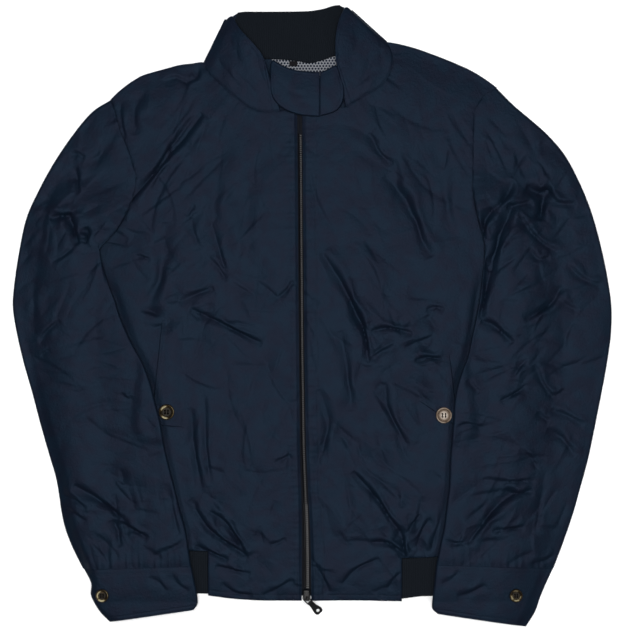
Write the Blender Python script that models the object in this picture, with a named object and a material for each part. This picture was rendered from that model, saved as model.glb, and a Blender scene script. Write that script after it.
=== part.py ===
"""A navy nylon blouson, zipped shut and laid flat on its back.

Lengths below are in millimetres. +X is the wearer's left, +Y is towards the collar, and the
surface that the jacket lies on is z = 0. Every cloth piece is a thin wall: its outer face is a
height over the plan, and its inner face is the same height less the wall.
"""

import math

import bmesh
import bpy
import numpy as np

MM = 0.001

# Cloth thicknesses and the clearance between sewn or touching pieces
SHELL_WALL = 2.0
BACK_WALL = 1.6
COLLAR_WALL = 2.2
KNIT_WALL = 2.4
LINING_WALL = 1.0
FLAP_WALL = 1.8
SEAM = 0.3

# How the layers lie: the hollow left inside the body and the sleeves stays under 4 mm
FRONT_BASE = BACK_WALL + SEAM
BODY_RISE = 3.1
RISE_REACH = 34.0
SLEEVE_EDGE = 5.2
SLEEVE_SWELL = 2.4
SWELL_REACH = 20.0
LAYER_GAP = 0.5
RAMP_START = 46.0
RAMP_END = 24.0

# Plan curves, x and y. "right" is the wearer's right, at -X.
SHOULDER = {
    "right": [(-129, 303), (-155, 301), (-179, 295), (-203, 288), (-217, 280), (-227, 273), (-242, 259)],
    "left": [(91, 327), (111, 324), (136, 316), (155, 309), (172, 302), (187, 295), (200, 288), (221, 273)],
}
ARMHOLE = {
    "right": [(-242, 259), (-237, 243), (-231, 222), (-221, 196), (-212, 170), (-213, 152), (-220, 130),
              (-234, 105), (-259, 79)],
    "left": [(221, 273), (205, 262), (196, 248), (193, 233), (193, 195), (192, 171), (193, 148),
             (198, 122), (206, 92)],
}
SIDE_SEAM = {
    "right": [(-259, 79), (-257, -5), (-254, -101), (-243, -197), (-229, -275)],
    "left": [(206, 92), (213, -5), (211, -101), (206, -197), (199, -281)],
}
WING_SEAM = {
    "right": [(-129, 303), (-123, 292), (-110, 279), (-99, 268), (-86, 258), (-75, 250), (-59, 245), (-38, 246)],
    "left": [(91, 327), (94.5, 316), (95, 301), (87, 282), (74, 271), (61, 264), (45, 254), (39, 250)],
}
THROAT_SEAM = {
    "right": [(-38, 246), (-16, 244)],
    "left": [(39, 250), (-12, 243)],
}
BACK_NECK = [(-129, 303), (-93, 307), (-53, 309), (-9, 310), (29, 311), (63, 317), (91, 327)]
RIB_SEAM = {
    "right": [(-229, -275), (-183, -279), (-125, -282)],
    "left": [(199, -281), (153, -288), (107, -290)],
}
RIB_CURVE = RIB_SEAM["right"] + [(-9, -288)] + RIB_SEAM["left"][::-1]
BAND_SEAM = {
    "right": [(-125, -282), (-68, -287), (-9, -288)],
    "left": [(107, -290), (45, -288), (-9, -288)],
}
HEM = {
    "right": [(-125, -335), (-93, -339), (-57, -341), (-7, -341)],
    "left": [(107, -342), (57, -341), (17, -341), (-7, -341)],
}
ZIP_LINE = [(-16, 244), (-15, 163), (-14, 79), (-13, -29), (-11, -149), (-10, -233), (-9, -288), (-7, -341)]

# Half of the gap between the two front edges, which shows the chain, from the hem to the neck.
# It widens round the slider, at the edge points below SLIDER_GAP_TOP.
ZIP_GAPS = (3.3, 2.1)
SLIDER_GAP = 4.9
SLIDER_GAP_TOP = -320.0

# Sleeve sections from the armhole to the cuff: the fold on the outside and the fold over the body
#   outer x, outer y, inner x, inner y
SLEEVE_SECTIONS = {
    "right": [
        (-242, 259, -259, 79), (-265, 244, -255, 70), (-287, 218, -251, 60), (-310, 184, -247, 48),
        (-328, 151, -242, 33), (-343, 117, -236, 18), (-352, 75, -231, 2), (-358, 33, -224, -15),
        (-359, 8, -218, -28), (-354, -23, -211, -41), (-346, -57, -202, -58), (-336, -92, -194, -78),
        (-326, -130, -188, -101), (-316, -165, -181, -129), (-308, -192, -177, -154),
        (-304, -213, -171, -180), (-301, -234, -165, -203), (-296, -256, -158, -232),
        (-287, -279, -151, -258), (-275, -303, -145, -299),
    ],
    "left": [
        (221, 273, 206, 92), (242, 252, 206, 79), (262, 235, 205, 63), (283, 216, 203, 46),
        (303, 192, 201, 29), (320, 160, 198, 10), (333, 128, 194, -9), (343, 94, 190, -27),
        (352, 54, 185, -50), (358, 14, 177, -70), (358, -18, 172, -87), (355, -44, 169, -106),
        (350, -74, 168, -125), (344, -105, 166, -149), (337, -140, 164, -176), (330, -173, 163, -203),
        (321, -206, 160, -228), (312, -238, 157, -252), (301, -270, 152, -275), (289, -302, 148, -297),
    ],
}
ARMHOLE_BULGE_SECTIONS = 6.0

# Cuff sections from the seam to the lower edge, in the same columns
CUFF_SECTIONS = {
    "right": [
        (-274, -304, -144.6, -299.6), (-265, -321, -141, -317), (-265, -336, -138, -333),
        (-255, -354, -137.3, -345), (-243, -367, -142, -352.5),
    ],
    "left": [
        (288.6, -303, 147.8, -297.8), (281, -319, 146, -314), (273, -338, 144, -333),
        (267, -355, 143, -350), (256, -373, 149, -357),
    ],
}

# Top edge of the collar: each wing from its outer fold to its front end, and the back part
WING_TOP = {
    "right": [(-100, 364), (-92, 352), (-79, 334), (-67, 319), (-57, 303)],
    "left": [(42, 374), (35, 362), (30.5, 350), (27.4, 331), (27.2, 318), (28, 304)],
}
BACK_TOP = [(-98, 364), (-81, 364.5), (-53, 364.5), (-8, 365), (15, 368.4), (31, 372.4), (40, 374)]

# Heights of the middle of a wing's wall, from its fold to its front end
WING_SEAM_HEIGHTS = [3.3, 5.5, 6.2, 6.3, 6.3, 6.3, 6.3, 6.3, 6.3]
WING_TOP_HEIGHTS = [3.8, 7.6, 9.8, 11.4, 12.4, 12.8, 12.8, 12.5, 12.2]
WING_STATIONS = 9
FOLD_INSET = 3.0
COLLAR_ROWS_ACROSS = 4

# Inner collar: x of the seam, y of the seam, x and y of its top edge
FACING_SECTIONS = [
    (-112.0, 308.5, -89.5, 360.5), (-93, 310, -79, 361.6), (-53, 311.6, -53, 361.8), (-9, 312.4, -8, 362),
    (29, 313.6, 15, 365), (56, 318.4, 27, 368.2), (76, 324, 32.5, 369.2),
]
FACING_BOTTOM = COLLAR_WALL + SEAM
FACING_HEIGHT = 2.0

NECK_LINING = [(-64, 258), (-60, 307), (-36, 308.4), (-9, 309.2), (29, 310.2), (52, 312), (46, 258), (-9, 252)]
LABEL_CENTRE = (-23.0, 302.0)
LABEL_SIZE = (9.6, 6.0, 0.6)

# Throat tab: x, lower edge y, upper edge y
THROAT_TAB = [
    (-51.4, 288.5, 290.5), (-48.2, 279, 301.5), (-44.6, 268.5, 301), (-41.0, 259, 298.5), (-36.5, 251.6, 296),
    (-31, 246.5, 294.6), (-22, 242.2, 293.2), (-13, 239.4, 294), (-4, 238.2, 292.6), (3, 238.0, 291),
    (8.6, 238.4, 291),
]
THROAT_TAB_END = [
    (9.0, 239.2, 291), (14, 239.6, 292.4), (20, 240.6, 295), (26, 242, 298), (28.4, 243.4, 296),
    (30.8, 245.4, 286), (33.8, 249, 271.6), (35.8, 253, 262),
]
TAB_BOTTOM = 7.8
TAB_WALL = 2.0

# Pocket flap corners: upper inner, upper outer, lower outer, lower inner
POCKET_FLAPS = {
    "right": [(-146, 3), (-181, -2), (-186, -136), (-153, -134)],
    "left": [(121, -54), (164, -45), (175, -134), (126, -101)],
}
FLAP_ROWS = 10
FLAP_COLUMNS = 4

# Buttons: x, y, radius, thickness
BUTTONS = {
    "button_pocket_right": (-174.2, -115, 9.3, 3.0),
    "button_pocket_left": (157, -119, 9.5, 3.0),
    "button_cuff_right": (-251, -334, 7.8, 2.6),
    "button_cuff_left": (243, -334, 7.8, 2.6),
}
BUTTON_SIDES = 20
HOLE_RADIUS = 0.9
HOLE_SPREAD = 1.9

# Folds that stand out. Each is a soft trough along a curve through three points, with a ridge on
# its left side:  x0, y0, x1, y1, x2, y2, depth, ridge, half-width
FRONT_FOLDS = {
    "right": [
        (-129, 238, -161, 202, -215, 135, 3.2, 2.6, 7),
        (-136, 297, -139, 284, -153, 277, 2.0, 1.0, 5),
        (-147, 8, -104, -11, -63, -32, 3.4, 2.2, 6),
        (-195, 100, -176, 64, -158, 21, 1.5, 1.0, 12),
        (-104, 216, -118, 144, -110, 69, 1.3, 0.9, 16),
        (-101, -41, -87, -125, -95, -212, 1.3, 1.0, 14),
        (-139, -131, -134, -183, -140, -228, 2.0, 1.2, 9),
        (-141, -228, -119, -257, -92, -286, 3.4, 2.4, 6),
        (-123, -221, -104, -249, -75, -288, 4.0, 2.8, 6),
    ],
    "left": [
        (16, 63, 51, 6, 68, -56, 3.6, 2.6, 6),
        (31, 223, 75, 133, 142, 69, 2.0, 1.4, 11),
        (70, -17, 93, -14, 119, -21, 2.6, 1.4, 5),
        (88, -82, 101, -119, 117, -160, 2.0, 1.2, 8),
        (47, -89, 44, -137, 52, -183, 1.3, 1.0, 13),
        (45, -185, 76, -220, 106, -262, 4.0, 3.0, 6),
        (115, -276, 118, -257, 129, -238, 2.6, 1.4, 5),
        (136, -280, 145, -262, 158, -238, 3.0, 1.6, 5),
        (35, -323, 49, -302, 82, -292, 2.0, 1.0, 6),
    ],
}
SLEEVE_FOLDS = {
    "right": [
        (-315, 122, -301, 127, -287, 118, 4.2, 1.0, 7),
        (-291, 120, -281, 104, -267, 100, 4.6, 1.4, 8),
        (-307, 79, -326, 33, -329, -36, 2.0, 1.4, 11),
        (-341, 19, -301, -3, -260, 4, 1.4, 1.4, 14),
        (-325, -44, -279, -27, -231, -44, 1.6, 1.4, 14),
        (-313, -125, -265, -99, -207, -116, 1.6, 1.4, 16),
        (-279, -210, -243, -224, -219, -250, 5.0, 3.0, 8),
        (-224, -246, -209, -255, -193, -267, 3.6, 1.6, 6),
        (-191, -288, -177, -280, -151, -268, 2.2, 1.4, 6),
    ],
    "left": [
        (203, 91, 209, 118, 227, 132, 4.6, 1.6, 7),
        (257, 153, 277, 135, 299, 132, 4.6, 1.6, 11),
        (249, 126, 263, 99, 281, 62, 2.8, 2.0, 7),
        (217, 79, 207, -3, 181, -87, 2.8, 1.8, 9),
        (302, 61, 325, 46, 346, 37, 2.2, 1.6, 8),
        (260, -6, 275, 14, 297, 38, 3.0, 2.0, 8),
        (220, -125, 261, -106, 304, -116, 1.8, 1.6, 14),
        (206, -154, 254, -137, 314, -149, 1.4, 1.2, 14),
        (220, -203, 239, -208, 263, -212, 4.6, 2.0, 7),
        (242, -214, 220, -238, 184, -276, 4.8, 3.0, 8),
    ],
}
LEAST_FOLD_WIDTH = 8.0

# Hem rib
RIB_PITCH = 4.2
RIB_DEPTH = 0.5
RIB_TOP_HEIGHT = 5.6
RIB_END = {"right": -125.4, "left": 107.4}
RIB_SIDE = {"right": -230.0, "left": 199.0}
RIBBED_FROM = {"right": -160.0, "left": 165.0}
#   x, y of the lower edge
RIB_EDGE = [(-230, -330), (-125, -333), (-57, -335), (57, -336), (107, -339), (130, -336), (199, -334)]

# Zip hardware
CHAIN_TOP = 236.0
CHAIN_BOTTOM = -327.9
CHAIN_HEIGHTS = (4.9, 7.0)
TAPE_WIDTH = 11.0
TAPE_HEIGHTS = (3.7, 4.6)
SLIDER_LENGTH = 13.0
SLIDER_TOP = 8.6
SLIDER_HALF = 4.4
BAIL_HALF_LENGTH = 2.9
PULL_AXIS = (-7.2, -338.2, 10.4)
PULL_LENGTH = 27.0
PULL_YAW = math.radians(-47.7)
PULL_PITCH = math.radians(21.0)
PULL_WALL = 1.6


# Curves and plan grids

def resample(path, count):
    """The polyline through path, read at count points an even distance apart."""
    path = np.asarray(path, float)
    steps = np.linalg.norm(np.diff(path, axis=0), axis=1)
    along = np.concatenate([[0.0], np.cumsum(steps)])
    wanted = np.linspace(0.0, along[-1], count)
    return np.stack([np.interp(wanted, along, path[:, k]) for k in range(path.shape[1])], axis=1)


def smooth(path, count):
    """A Catmull-Rom curve through path, read at count points an even distance apart."""
    path = np.asarray(path, float)
    before = 2.0 * path[0] - path[1]
    after = 2.0 * path[-1] - path[-2]
    p = np.vstack([before, path, after])
    t = np.linspace(0.0, 1.0, 12, endpoint=False)[:, None]
    pieces = []
    for a, b, c, d in zip(p[:-3], p[1:-2], p[2:-1], p[3:]):
        pieces.append(0.5 * (2.0 * b + (c - a) * t + (2.0 * a - 5.0 * b + 4.0 * c - d) * t ** 2
                             + (3.0 * b - a - 3.0 * c + d) * t ** 3))
    return resample(np.vstack(pieces + [path[-1:]]), count)


def table_at(table, count):
    """A table's rows read smoothly at count even steps of the row number."""
    table = np.asarray(table, float)
    rows = np.arange(len(table))
    wanted = np.linspace(0.0, len(table) - 1.0, count)
    low = np.clip(np.floor(wanted).astype(int), 0, len(table) - 2)
    t = (wanted - low)[:, None]
    slope = np.gradient(table, rows, axis=0)
    a, b = table[low], table[low + 1]
    m, n = slope[low], slope[low + 1]
    return (2 * t ** 3 - 3 * t ** 2 + 1) * a + (t ** 3 - 2 * t ** 2 + t) * m \
        + (3 * t ** 2 - 2 * t ** 3) * b + (t ** 3 - t ** 2) * n


def smoothstep(value):
    value = np.clip(value, 0.0, 1.0)
    return value * value * (3.0 - 2.0 * value)


def moved_left(path, distance):
    """A polyline's points moved to its left side."""
    along = np.gradient(path, axis=0)
    along /= np.linalg.norm(along, axis=1, keepdims=True)
    return path + distance * np.stack([-along[:, 1], along[:, 0]], axis=1)


def nearest(path, x, y):
    """Least distance from each point to a polyline, which side it is on (left is positive) and
    how far along the polyline the nearest point is, from 0 to 1."""
    path = np.asarray(path, float)
    start, step = path[:-1], np.diff(path, axis=0)
    lengths = np.hypot(step[:, 0], step[:, 1])
    begun = np.concatenate([[0.0], np.cumsum(lengths)])
    dx = np.asarray(x, float)[..., None] - start[:, 0]
    dy = np.asarray(y, float)[..., None] - start[:, 1]
    t = np.clip((dx * step[:, 0] + dy * step[:, 1]) / lengths ** 2, 0.0, 1.0)
    distances = np.hypot(dx - t * step[:, 0], dy - t * step[:, 1])
    best = np.argmin(distances, axis=-1)[..., None]
    cross = step[:, 0] * dy - step[:, 1] * dx
    distance = np.take_along_axis(distances, best, -1)[..., 0]
    side = np.sign(np.take_along_axis(cross, best, -1)[..., 0])
    along = (begun[:-1] + t * lengths) / begun[-1]
    return distance, side, np.take_along_axis(along, best, -1)[..., 0]


def coons(top, bottom, left, right):
    """A grid of plan points between four curves that share their corners."""
    s = np.linspace(0.0, 1.0, len(top))[None, :, None]
    t = np.linspace(0.0, 1.0, len(left))[:, None, None]
    across = (1 - s) * left[:, None] + s * right[:, None]
    down = (1 - t) * top[None] + t * bottom[None]
    corners = (1 - t) * ((1 - s) * top[0] + s * top[-1]) + t * ((1 - s) * bottom[0] + s * bottom[-1])
    return across + down - corners


def relaxed(plan, rounds):
    """Evens out a plan grid with its edges kept, so that it doesn't fold at an inward corner."""
    plan = plan.copy()
    for _ in range(rounds):
        plan[1:-1, 1:-1] = (plan[:-2, 1:-1] + plan[2:, 1:-1] + plan[1:-1, :-2] + plan[1:-1, 2:]) / 4.0
    return plan


def zip_x(y):
    line = np.array(ZIP_LINE)[::-1]
    return np.interp(y, line[:, 1], line[:, 0])


# Heights over the plan

def fold_relief(folds, x, y):
    """Sum of the folds: a rounded trough on each fold's curve and a rounded ridge beside it,
    both fading out towards the curve's ends."""
    relief = np.zeros_like(x)
    for x0, y0, x1, y1, x2, y2, depth, ridge, half_width in folds:
        width = max(half_width, LEAST_FOLD_WIDTH)
        distance, side, along = nearest(smooth([(x0, y0), (x1, y1), (x2, y2)], 10), x, y)
        fade = np.clip(4.0 * along * (1.0 - along), 0.0, 1.0) ** 0.5
        offset = side * distance
        relief += fade * (ridge * np.exp(-((offset - 1.7 * width) / (1.2 * width)) ** 2)
                          - depth * np.exp(-(distance / width) ** 2))
    return relief


def hem_lift(y):
    """The hem bands lie on the back's rib, which is thicker than the back."""
    return (KNIT_WALL - BACK_WALL) * smoothstep((-268.0 - y) / 10.0)


def front_under(x, y):
    """Underside of the fronts: on the back along the shoulders, sides and hem, and a low dome
    between. The zip holds the hem up at the middle."""
    reach = 1e9
    for side in ("right", "left"):
        for path in (SHOULDER[side], SIDE_SEAM[side]):
            reach = np.minimum(reach, nearest(path, x, y)[0])
    dome = 1.0 - np.exp(-(reach / RISE_REACH) ** 1.5)
    hem_reach = np.maximum(y + 342.0, 0.0)
    hem_dome = 1.0 - np.exp(-(hem_reach / 16.0) ** 1.2)
    by_zip = np.exp(-((x - zip_x(y)) / 26.0) ** 2)
    hem_dome = np.maximum(hem_dome, by_zip)
    over_rib = smoothstep((-268.0 - y) / 10.0)
    return FRONT_BASE + hem_lift(y) + BODY_RISE * dome * hem_dome * (1.0 - 0.2 * over_rib)


def front_top(side, x, y, folded=True):
    """Outer face of a front. Folds stop where the sleeve lies over them."""
    top = front_under(x, y) + SHELL_WALL
    if folded:
        inner = np.array([row[2:] for row in SLEEVE_SECTIONS[side]])
        distance, beside, _ = nearest(inner, x, y)
        outward = 1.0 if side == "left" else -1.0
        covered = (beside * outward > 0) & (y < inner[0, 1])
        clear = smoothstep((distance - 3.0) / 12.0) * np.where(covered, 0.0, 1.0)
        below_armhole = np.where(y < inner[0, 1], clear, 1.0)
        top = top + fold_relief(FRONT_FOLDS[side], x, y) * below_armhole
    return np.maximum(top, FRONT_BASE + hem_lift(y) + SHELL_WALL)


def sleeve_under(side, x, y):
    """Underside of a sleeve or cuff: flat on the surface, and lifted clear over the body."""
    edge = SIDE_SEAM[side] + [(RIB_SIDE[side], -333.0), HEM[side][0], (0.0, -342.0)]
    distance, beside, _ = nearest(edge, x, y)
    inward = 1.0 if side == "right" else -1.0
    inside = (beside * inward > 0) & (y < SIDE_SEAM[side][0][1])
    over = np.where(inside, 1.0, smoothstep((RAMP_START - distance) / (RAMP_START - RAMP_END)))
    flap = np.array(POCKET_FLAPS[side] + POCKET_FLAPS[side][:1], float)
    flap_near = smoothstep((26.0 - nearest(flap, x, y)[0]) / 14.0)
    lift = front_top(side, x, y, folded=False) + LAYER_GAP + (FLAP_WALL + SEAM) * flap_near
    return over * lift


# Solids

def material(name, colour, roughness, metallic=0.0):
    made = bpy.data.materials.new(name)
    made.use_nodes = True
    shader = made.node_tree.nodes["Principled BSDF"]
    shader.inputs["Base Color"].default_value = (*colour, 1.0)
    shader.inputs["Roughness"].default_value = roughness
    shader.inputs["Metallic"].default_value = metallic
    return made


def solid(name, points, faces, finish):
    """One closed object from points in millimetres."""
    mesh = bpy.data.meshes.new(name)
    mesh.from_pydata((np.asarray(points, float) * MM).tolist(), [], [list(map(int, f)) for f in faces])
    shape = bmesh.new()
    shape.from_mesh(mesh)
    bmesh.ops.recalc_face_normals(shape, faces=shape.faces)
    shape.to_mesh(mesh)
    shape.free()
    mesh.materials.append(finish)
    mesh.shade_smooth()
    mesh.set_sharp_from_angle(angle=math.radians(35))
    made = bpy.data.objects.new(name, mesh)
    bpy.context.scene.collection.objects.link(made)
    return made


def wall(name, outer, inner, finish, cells=None):
    """A wall between two grids of points. cells says which squares of the grid are cloth."""
    rows, columns = outer.shape[:2]
    if cells is None:
        cells = np.ones((rows - 1, columns - 1), bool)
    number = np.arange(rows * columns).reshape(rows, columns)
    a, b = number[:-1, :-1][cells], number[:-1, 1:][cells]
    c, d = number[1:, 1:][cells], number[1:, :-1][cells]
    shift = rows * columns
    faces = list(np.stack([a, b, c, d], 1)) + list(np.stack([d, c, b, a], 1) + shift)
    edges = np.concatenate([np.stack(pair, 1) for pair in ((a, b), (b, c), (c, d), (d, a))])
    present = {tuple(edge) for edge in edges.tolist()}
    for p, q in sorted(present):
        if (q, p) not in present:
            faces.append([q, p, p + shift, q + shift])
    used = np.unique(np.concatenate([np.asarray(f) for f in faces]))
    renumber = np.full(2 * shift, -1)
    renumber[used] = np.arange(len(used))
    points = np.concatenate([outer.reshape(-1, 3), inner.reshape(-1, 3)])[used]
    return solid(name, points, [renumber[np.asarray(f)] for f in faces], finish)


def tube(name, outer, inner, finish):
    """A tube of cloth: rings of outer points and rings of inner points, open at both ends."""
    rings, count = outer.shape[:2]
    number = np.arange(rings * count).reshape(rings, count)
    ahead = np.roll(number, -1, axis=1)
    shift = rings * count
    skin = np.stack([number[:-1], ahead[:-1], ahead[1:], number[1:]], -1).reshape(-1, 4)
    faces = list(skin) + list(skin[:, ::-1] + shift)
    for ring in (0, rings - 1):
        faces += list(np.stack([number[ring], ahead[ring], ahead[ring] + shift, number[ring] + shift], -1))
    return solid(name, np.concatenate([outer.reshape(-1, 3), inner.reshape(-1, 3)]), faces, finish)


def prism(name, outline, low, high, finish):
    """A flat plate with the given outline."""
    outline = np.asarray(outline, float)
    count = len(outline)
    points = [(x, y, z) for z in (low, high) for x, y in outline]
    faces = [list(range(count)), list(range(count, 2 * count))]
    faces += [[k, (k + 1) % count, (k + 1) % count + count, k + count] for k in range(count)]
    return solid(name, points, faces, finish)


def lift(plan, heights):
    return np.concatenate([plan, heights[..., None]], axis=-1)


def cut(target, cutter):
    """Subtracts cutter, which isn't part of the jacket itself."""
    cutter.hide_render = True
    cutter.display_type = "WIRE"
    step = target.modifiers.new("hole", "BOOLEAN")
    step.operation = "DIFFERENCE"
    step.solver = "EXACT"
    step.object = cutter


# Pieces of the body

def chain_gap(y):
    """Half of the gap that the chain fills, at a height on the zip."""
    return np.interp(y, (-341.0, 244.0), ZIP_GAPS)


def front_edge(side, y):
    """Plan points of a front's edge along the zip."""
    toward = -1.0 if side == "right" else 1.0
    gap = np.where(y < SLIDER_GAP_TOP, SLIDER_GAP, chain_gap(y))
    return np.stack([zip_x(y) + toward * gap, y], axis=-1)


FRONT_SPLIT = 8
FRONT_COLUMNS = 18
THROAT_COLUMNS = 2
ARMHOLE_ROWS = 12
FRONT_ROWS = 33
BAND_ROWS = 4
RELAX_ROUNDS = 150


def front(side, finish):
    """A front panel: the grid hangs from the shoulder and neck, and only the columns beyond the
    rib go on down to the hem as the hem band."""
    across = FRONT_COLUMNS - FRONT_SPLIT
    shoulder = smooth(SHOULDER[side][::-1], FRONT_SPLIT + 1)
    wing = smooth(WING_SEAM[side], across - THROAT_COLUMNS + 1)
    throat = resample(THROAT_SEAM[side], THROAT_COLUMNS + 1)
    top = np.vstack([shoulder, wing[1:], throat[1:]])
    rib = smooth(RIB_SEAM[side], FRONT_SPLIT + 1)
    band = smooth(BAND_SEAM[side], across + 1)
    bottom = np.vstack([rib, band[1:]])
    outer_edge = np.vstack([smooth(ARMHOLE[side], ARMHOLE_ROWS + 1),
                            smooth(SIDE_SEAM[side], FRONT_ROWS - ARMHOLE_ROWS + 1)[1:]])
    centre_edge = front_edge(side, np.linspace(top[-1, 1], bottom[-1, 1], FRONT_ROWS + 1))
    top[-1], bottom[-1] = centre_edge[0], centre_edge[-1]
    plan = relaxed(coons(top, bottom, outer_edge, centre_edge), RELAX_ROUNDS)

    hem = smooth(HEM[side], across + 1)
    t = np.linspace(0.0, 1.0, BAND_ROWS + 1)[1:, None, None]
    band_plan = (1.0 - t) * bottom[None, FRONT_SPLIT:] + t * hem[None]
    band_plan[:, -1] = front_edge(side, band_plan[:, -1, 1])
    unused = np.zeros((BAND_ROWS, FRONT_SPLIT, 2))
    plan = np.vstack([plan, np.concatenate([unused, band_plan], axis=1)])
    cells = np.ones((FRONT_ROWS + BAND_ROWS, FRONT_COLUMNS), bool)
    cells[FRONT_ROWS:, :FRONT_SPLIT] = False

    x, y = plan[..., 0], plan[..., 1]
    outer = front_top(side, x, y)
    return wall(f"front_{side}", lift(plan, outer), lift(plan, outer - SHELL_WALL), finish, cells)


def back(finish):
    """The back panel lies flat, so it is one plate with the garment's outline. Its lower edge
    is the rib's seam."""
    right = [smooth(SHOULDER["right"], 9), smooth(ARMHOLE["right"], 13), smooth(SIDE_SEAM["right"], 7)]
    left = [smooth(SHOULDER["left"], 9), smooth(ARMHOLE["left"], 13), smooth(SIDE_SEAM["left"], 7)]
    neck = smooth(BACK_NECK, 9)
    seam = np.array(RIB_CURVE[::-1], float)[1:-1]
    outline = np.vstack([neck[:-1], left[0][:-1], left[1][:-1], left[2], seam, right[2][::-1],
                         right[1][::-1][1:], right[0][::-1][1:-1]])
    return prism("back", outline, 0.0, BACK_WALL, finish)


def rib_seam_y(x):
    """The rib's upper edge, a seam's width below the nylon."""
    curve_x, curve_y = np.array(RIB_CURVE, float).T
    return np.interp(x, curve_x, curve_y) - 1.4 * SEAM


def hem_rib(finish):
    """One band of knit: over the right side, round its fold, across the back, round the left
    side's fold and over the left side. The ribs stand up on the part that can be seen."""
    low, top = 0.0, RIB_TOP_HEIGHT
    outer, inner = [], []

    def run(start, end, step):
        count = max(int(abs(end - start) / step), 1)
        return np.linspace(start, end, count + 1)

    ribbed = run(RIB_END["right"], RIBBED_FROM["right"], RIB_PITCH / 2)
    waves = RIB_DEPTH * (1.0 - np.arange(len(ribbed)) % 2)
    outer += [(x, top - RIB_DEPTH + w) for x, w in zip(ribbed, waves)]
    plain = run(RIBBED_FROM["right"], RIB_SIDE["right"] + 4, 22.0)[1:]
    outer += [(x, top - RIB_DEPTH) for x in plain]
    outer += [(RIB_SIDE["right"] + 1.2, top - 1.6), (RIB_SIDE["right"], top / 2), (RIB_SIDE["right"] + 1.2, 1.0)]
    outer += [(RIB_SIDE["right"] + 4, low)]
    outer += [(x, low) for x, _ in RIB_CURVE[1:-1]] + [(RIB_SIDE["left"] - 4, low)]
    outer += [(RIB_SIDE["left"] - 1.2, 1.0), (RIB_SIDE["left"], top / 2), (RIB_SIDE["left"] - 1.2, top - 1.6)]
    outer += [(x, top - RIB_DEPTH) for x in run(RIB_SIDE["left"] - 4, RIBBED_FROM["left"], 22.0)]
    ribbed = run(RIBBED_FROM["left"], RIB_END["left"], RIB_PITCH / 2)[1:]
    waves = RIB_DEPTH * (np.arange(len(ribbed)) % 2)
    outer += [(x, top - RIB_DEPTH + w) for x, w in zip(ribbed, waves)]

    inner_low, inner_high = low + KNIT_WALL, top - RIB_DEPTH - KNIT_WALL + 0.2
    middle = (inner_low + inner_high) / 2
    inset = KNIT_WALL
    for x, z in outer:
        x_in = min(max(x, RIB_SIDE["right"] + inset), RIB_SIDE["left"] - inset)
        if z > top / 2 + 0.1:
            z_in = inner_high
        elif z < top / 2 - 0.1:
            z_in = inner_low
        else:
            z_in = middle
        inner.append((x_in, z_in))
    outer, inner = np.array(outer), np.array(inner)

    edge_x, edge_y = np.array(RIB_EDGE).T

    def rows(section):
        seam = rib_seam_y(section[:, 0])
        edge = np.interp(section[:, 0], edge_x, edge_y)
        grid = [np.stack([section[:, 0], seam + (edge - seam) * t, section[:, 1]], 1) for t in (0.0, 0.5, 1.0)]
        return np.array(grid)

    return wall("hem_rib", rows(outer), rows(inner), finish)


# Sleeves and cuffs

def loop_fractions(top_columns, under_columns):
    """Round a flattened tube: the outer fold, over the top to the inner fold, and back below.
    Gives each point's place across (0 to 1), and 1 on top, -1 below and 0 on a fold."""
    top = np.linspace(0.0, 1.0, top_columns + 2)[1:-1]
    under = np.linspace(1.0, 0.0, under_columns + 2)[1:-1]
    across = np.concatenate([[0.0], top, [1.0], under])
    face = np.concatenate([[0.0], np.ones(top_columns), [0.0], -np.ones(under_columns)])
    return across, face


def flattened_tube(name, side, sections, bulges, folds, columns, half_edge, swell_height, finish):
    """Rings across a flattened tube. Near a fold the outer face is rounded. The inner face is
    the outer one, one wall further in."""
    across, face = loop_fractions(*columns)
    outer_xy, inner_xy = sections[:, None, :2], sections[:, None, 2:]
    widths = np.linalg.norm(inner_xy - outer_xy, axis=-1)

    def plan_at(fraction):
        flat = outer_xy + (inner_xy - outer_xy) * fraction[..., None]
        if bulges is None:
            return flat
        row, bulge = bulges
        steps = np.linspace(0.0, 1.0, len(bulge))
        added = np.stack([np.interp(fraction, steps, bulge[:, k]) for k in range(2)], -1)
        return flat + armhole_weight(row[:, None], fraction)[..., None] * added

    def heights(plan, from_edge):
        x, y = plan[..., 0], plan[..., 1]
        under = sleeve_under(side, x, y)
        swell = swell_height * (1.0 - np.exp(-(from_edge / SWELL_REACH) ** 1.5))
        relief = fold_relief(folds, x, y) if folds else 0.0
        top = under + 2.0 * half_edge + np.maximum(swell + relief * smoothstep(from_edge / 14.0), -0.4)
        return under, top

    # First and last columns on each face lie where the rounding of the fold ends
    rounding = half_edge / widths
    fraction = np.where(face == 0, across, np.clip(across, rounding, 1.0 - rounding))
    corner = (face != 0) & ((across < rounding * 1.01 + 0.03) | (across > 1.0 - rounding * 1.01 - 0.03))
    fraction = np.where(corner, np.where(across < 0.5, 0.45 * rounding, 1.0 - 0.45 * rounding), fraction)
    from_edge = np.minimum(fraction, 1.0 - fraction) * widths
    turn = np.sqrt(np.clip(1.0 - (1.0 - np.clip(from_edge / half_edge, 0.0, 1.0)) ** 2, 0.0, 1.0))

    plan = plan_at(fraction)
    under, top = heights(plan, from_edge)
    z = np.where(face > 0, top - half_edge * (1.0 - turn), under + half_edge * (1.0 - turn))
    z = np.where(face == 0, under + half_edge, z)
    outer = lift(plan, z)

    inset = SHELL_WALL / widths
    fraction_in = inset + fraction * (1.0 - 2.0 * inset)
    plan = plan_at(fraction_in)
    under, top = heights(plan, np.minimum(fraction_in, 1.0 - fraction_in) * widths)
    middle = under + half_edge
    z = np.where(face > 0, middle + (top - SHELL_WALL - middle) * turn, middle - (half_edge - SHELL_WALL) * turn)
    z = np.where(face == 0, middle, z)
    return tube(name, outer, lift(plan, z), finish)


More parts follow.
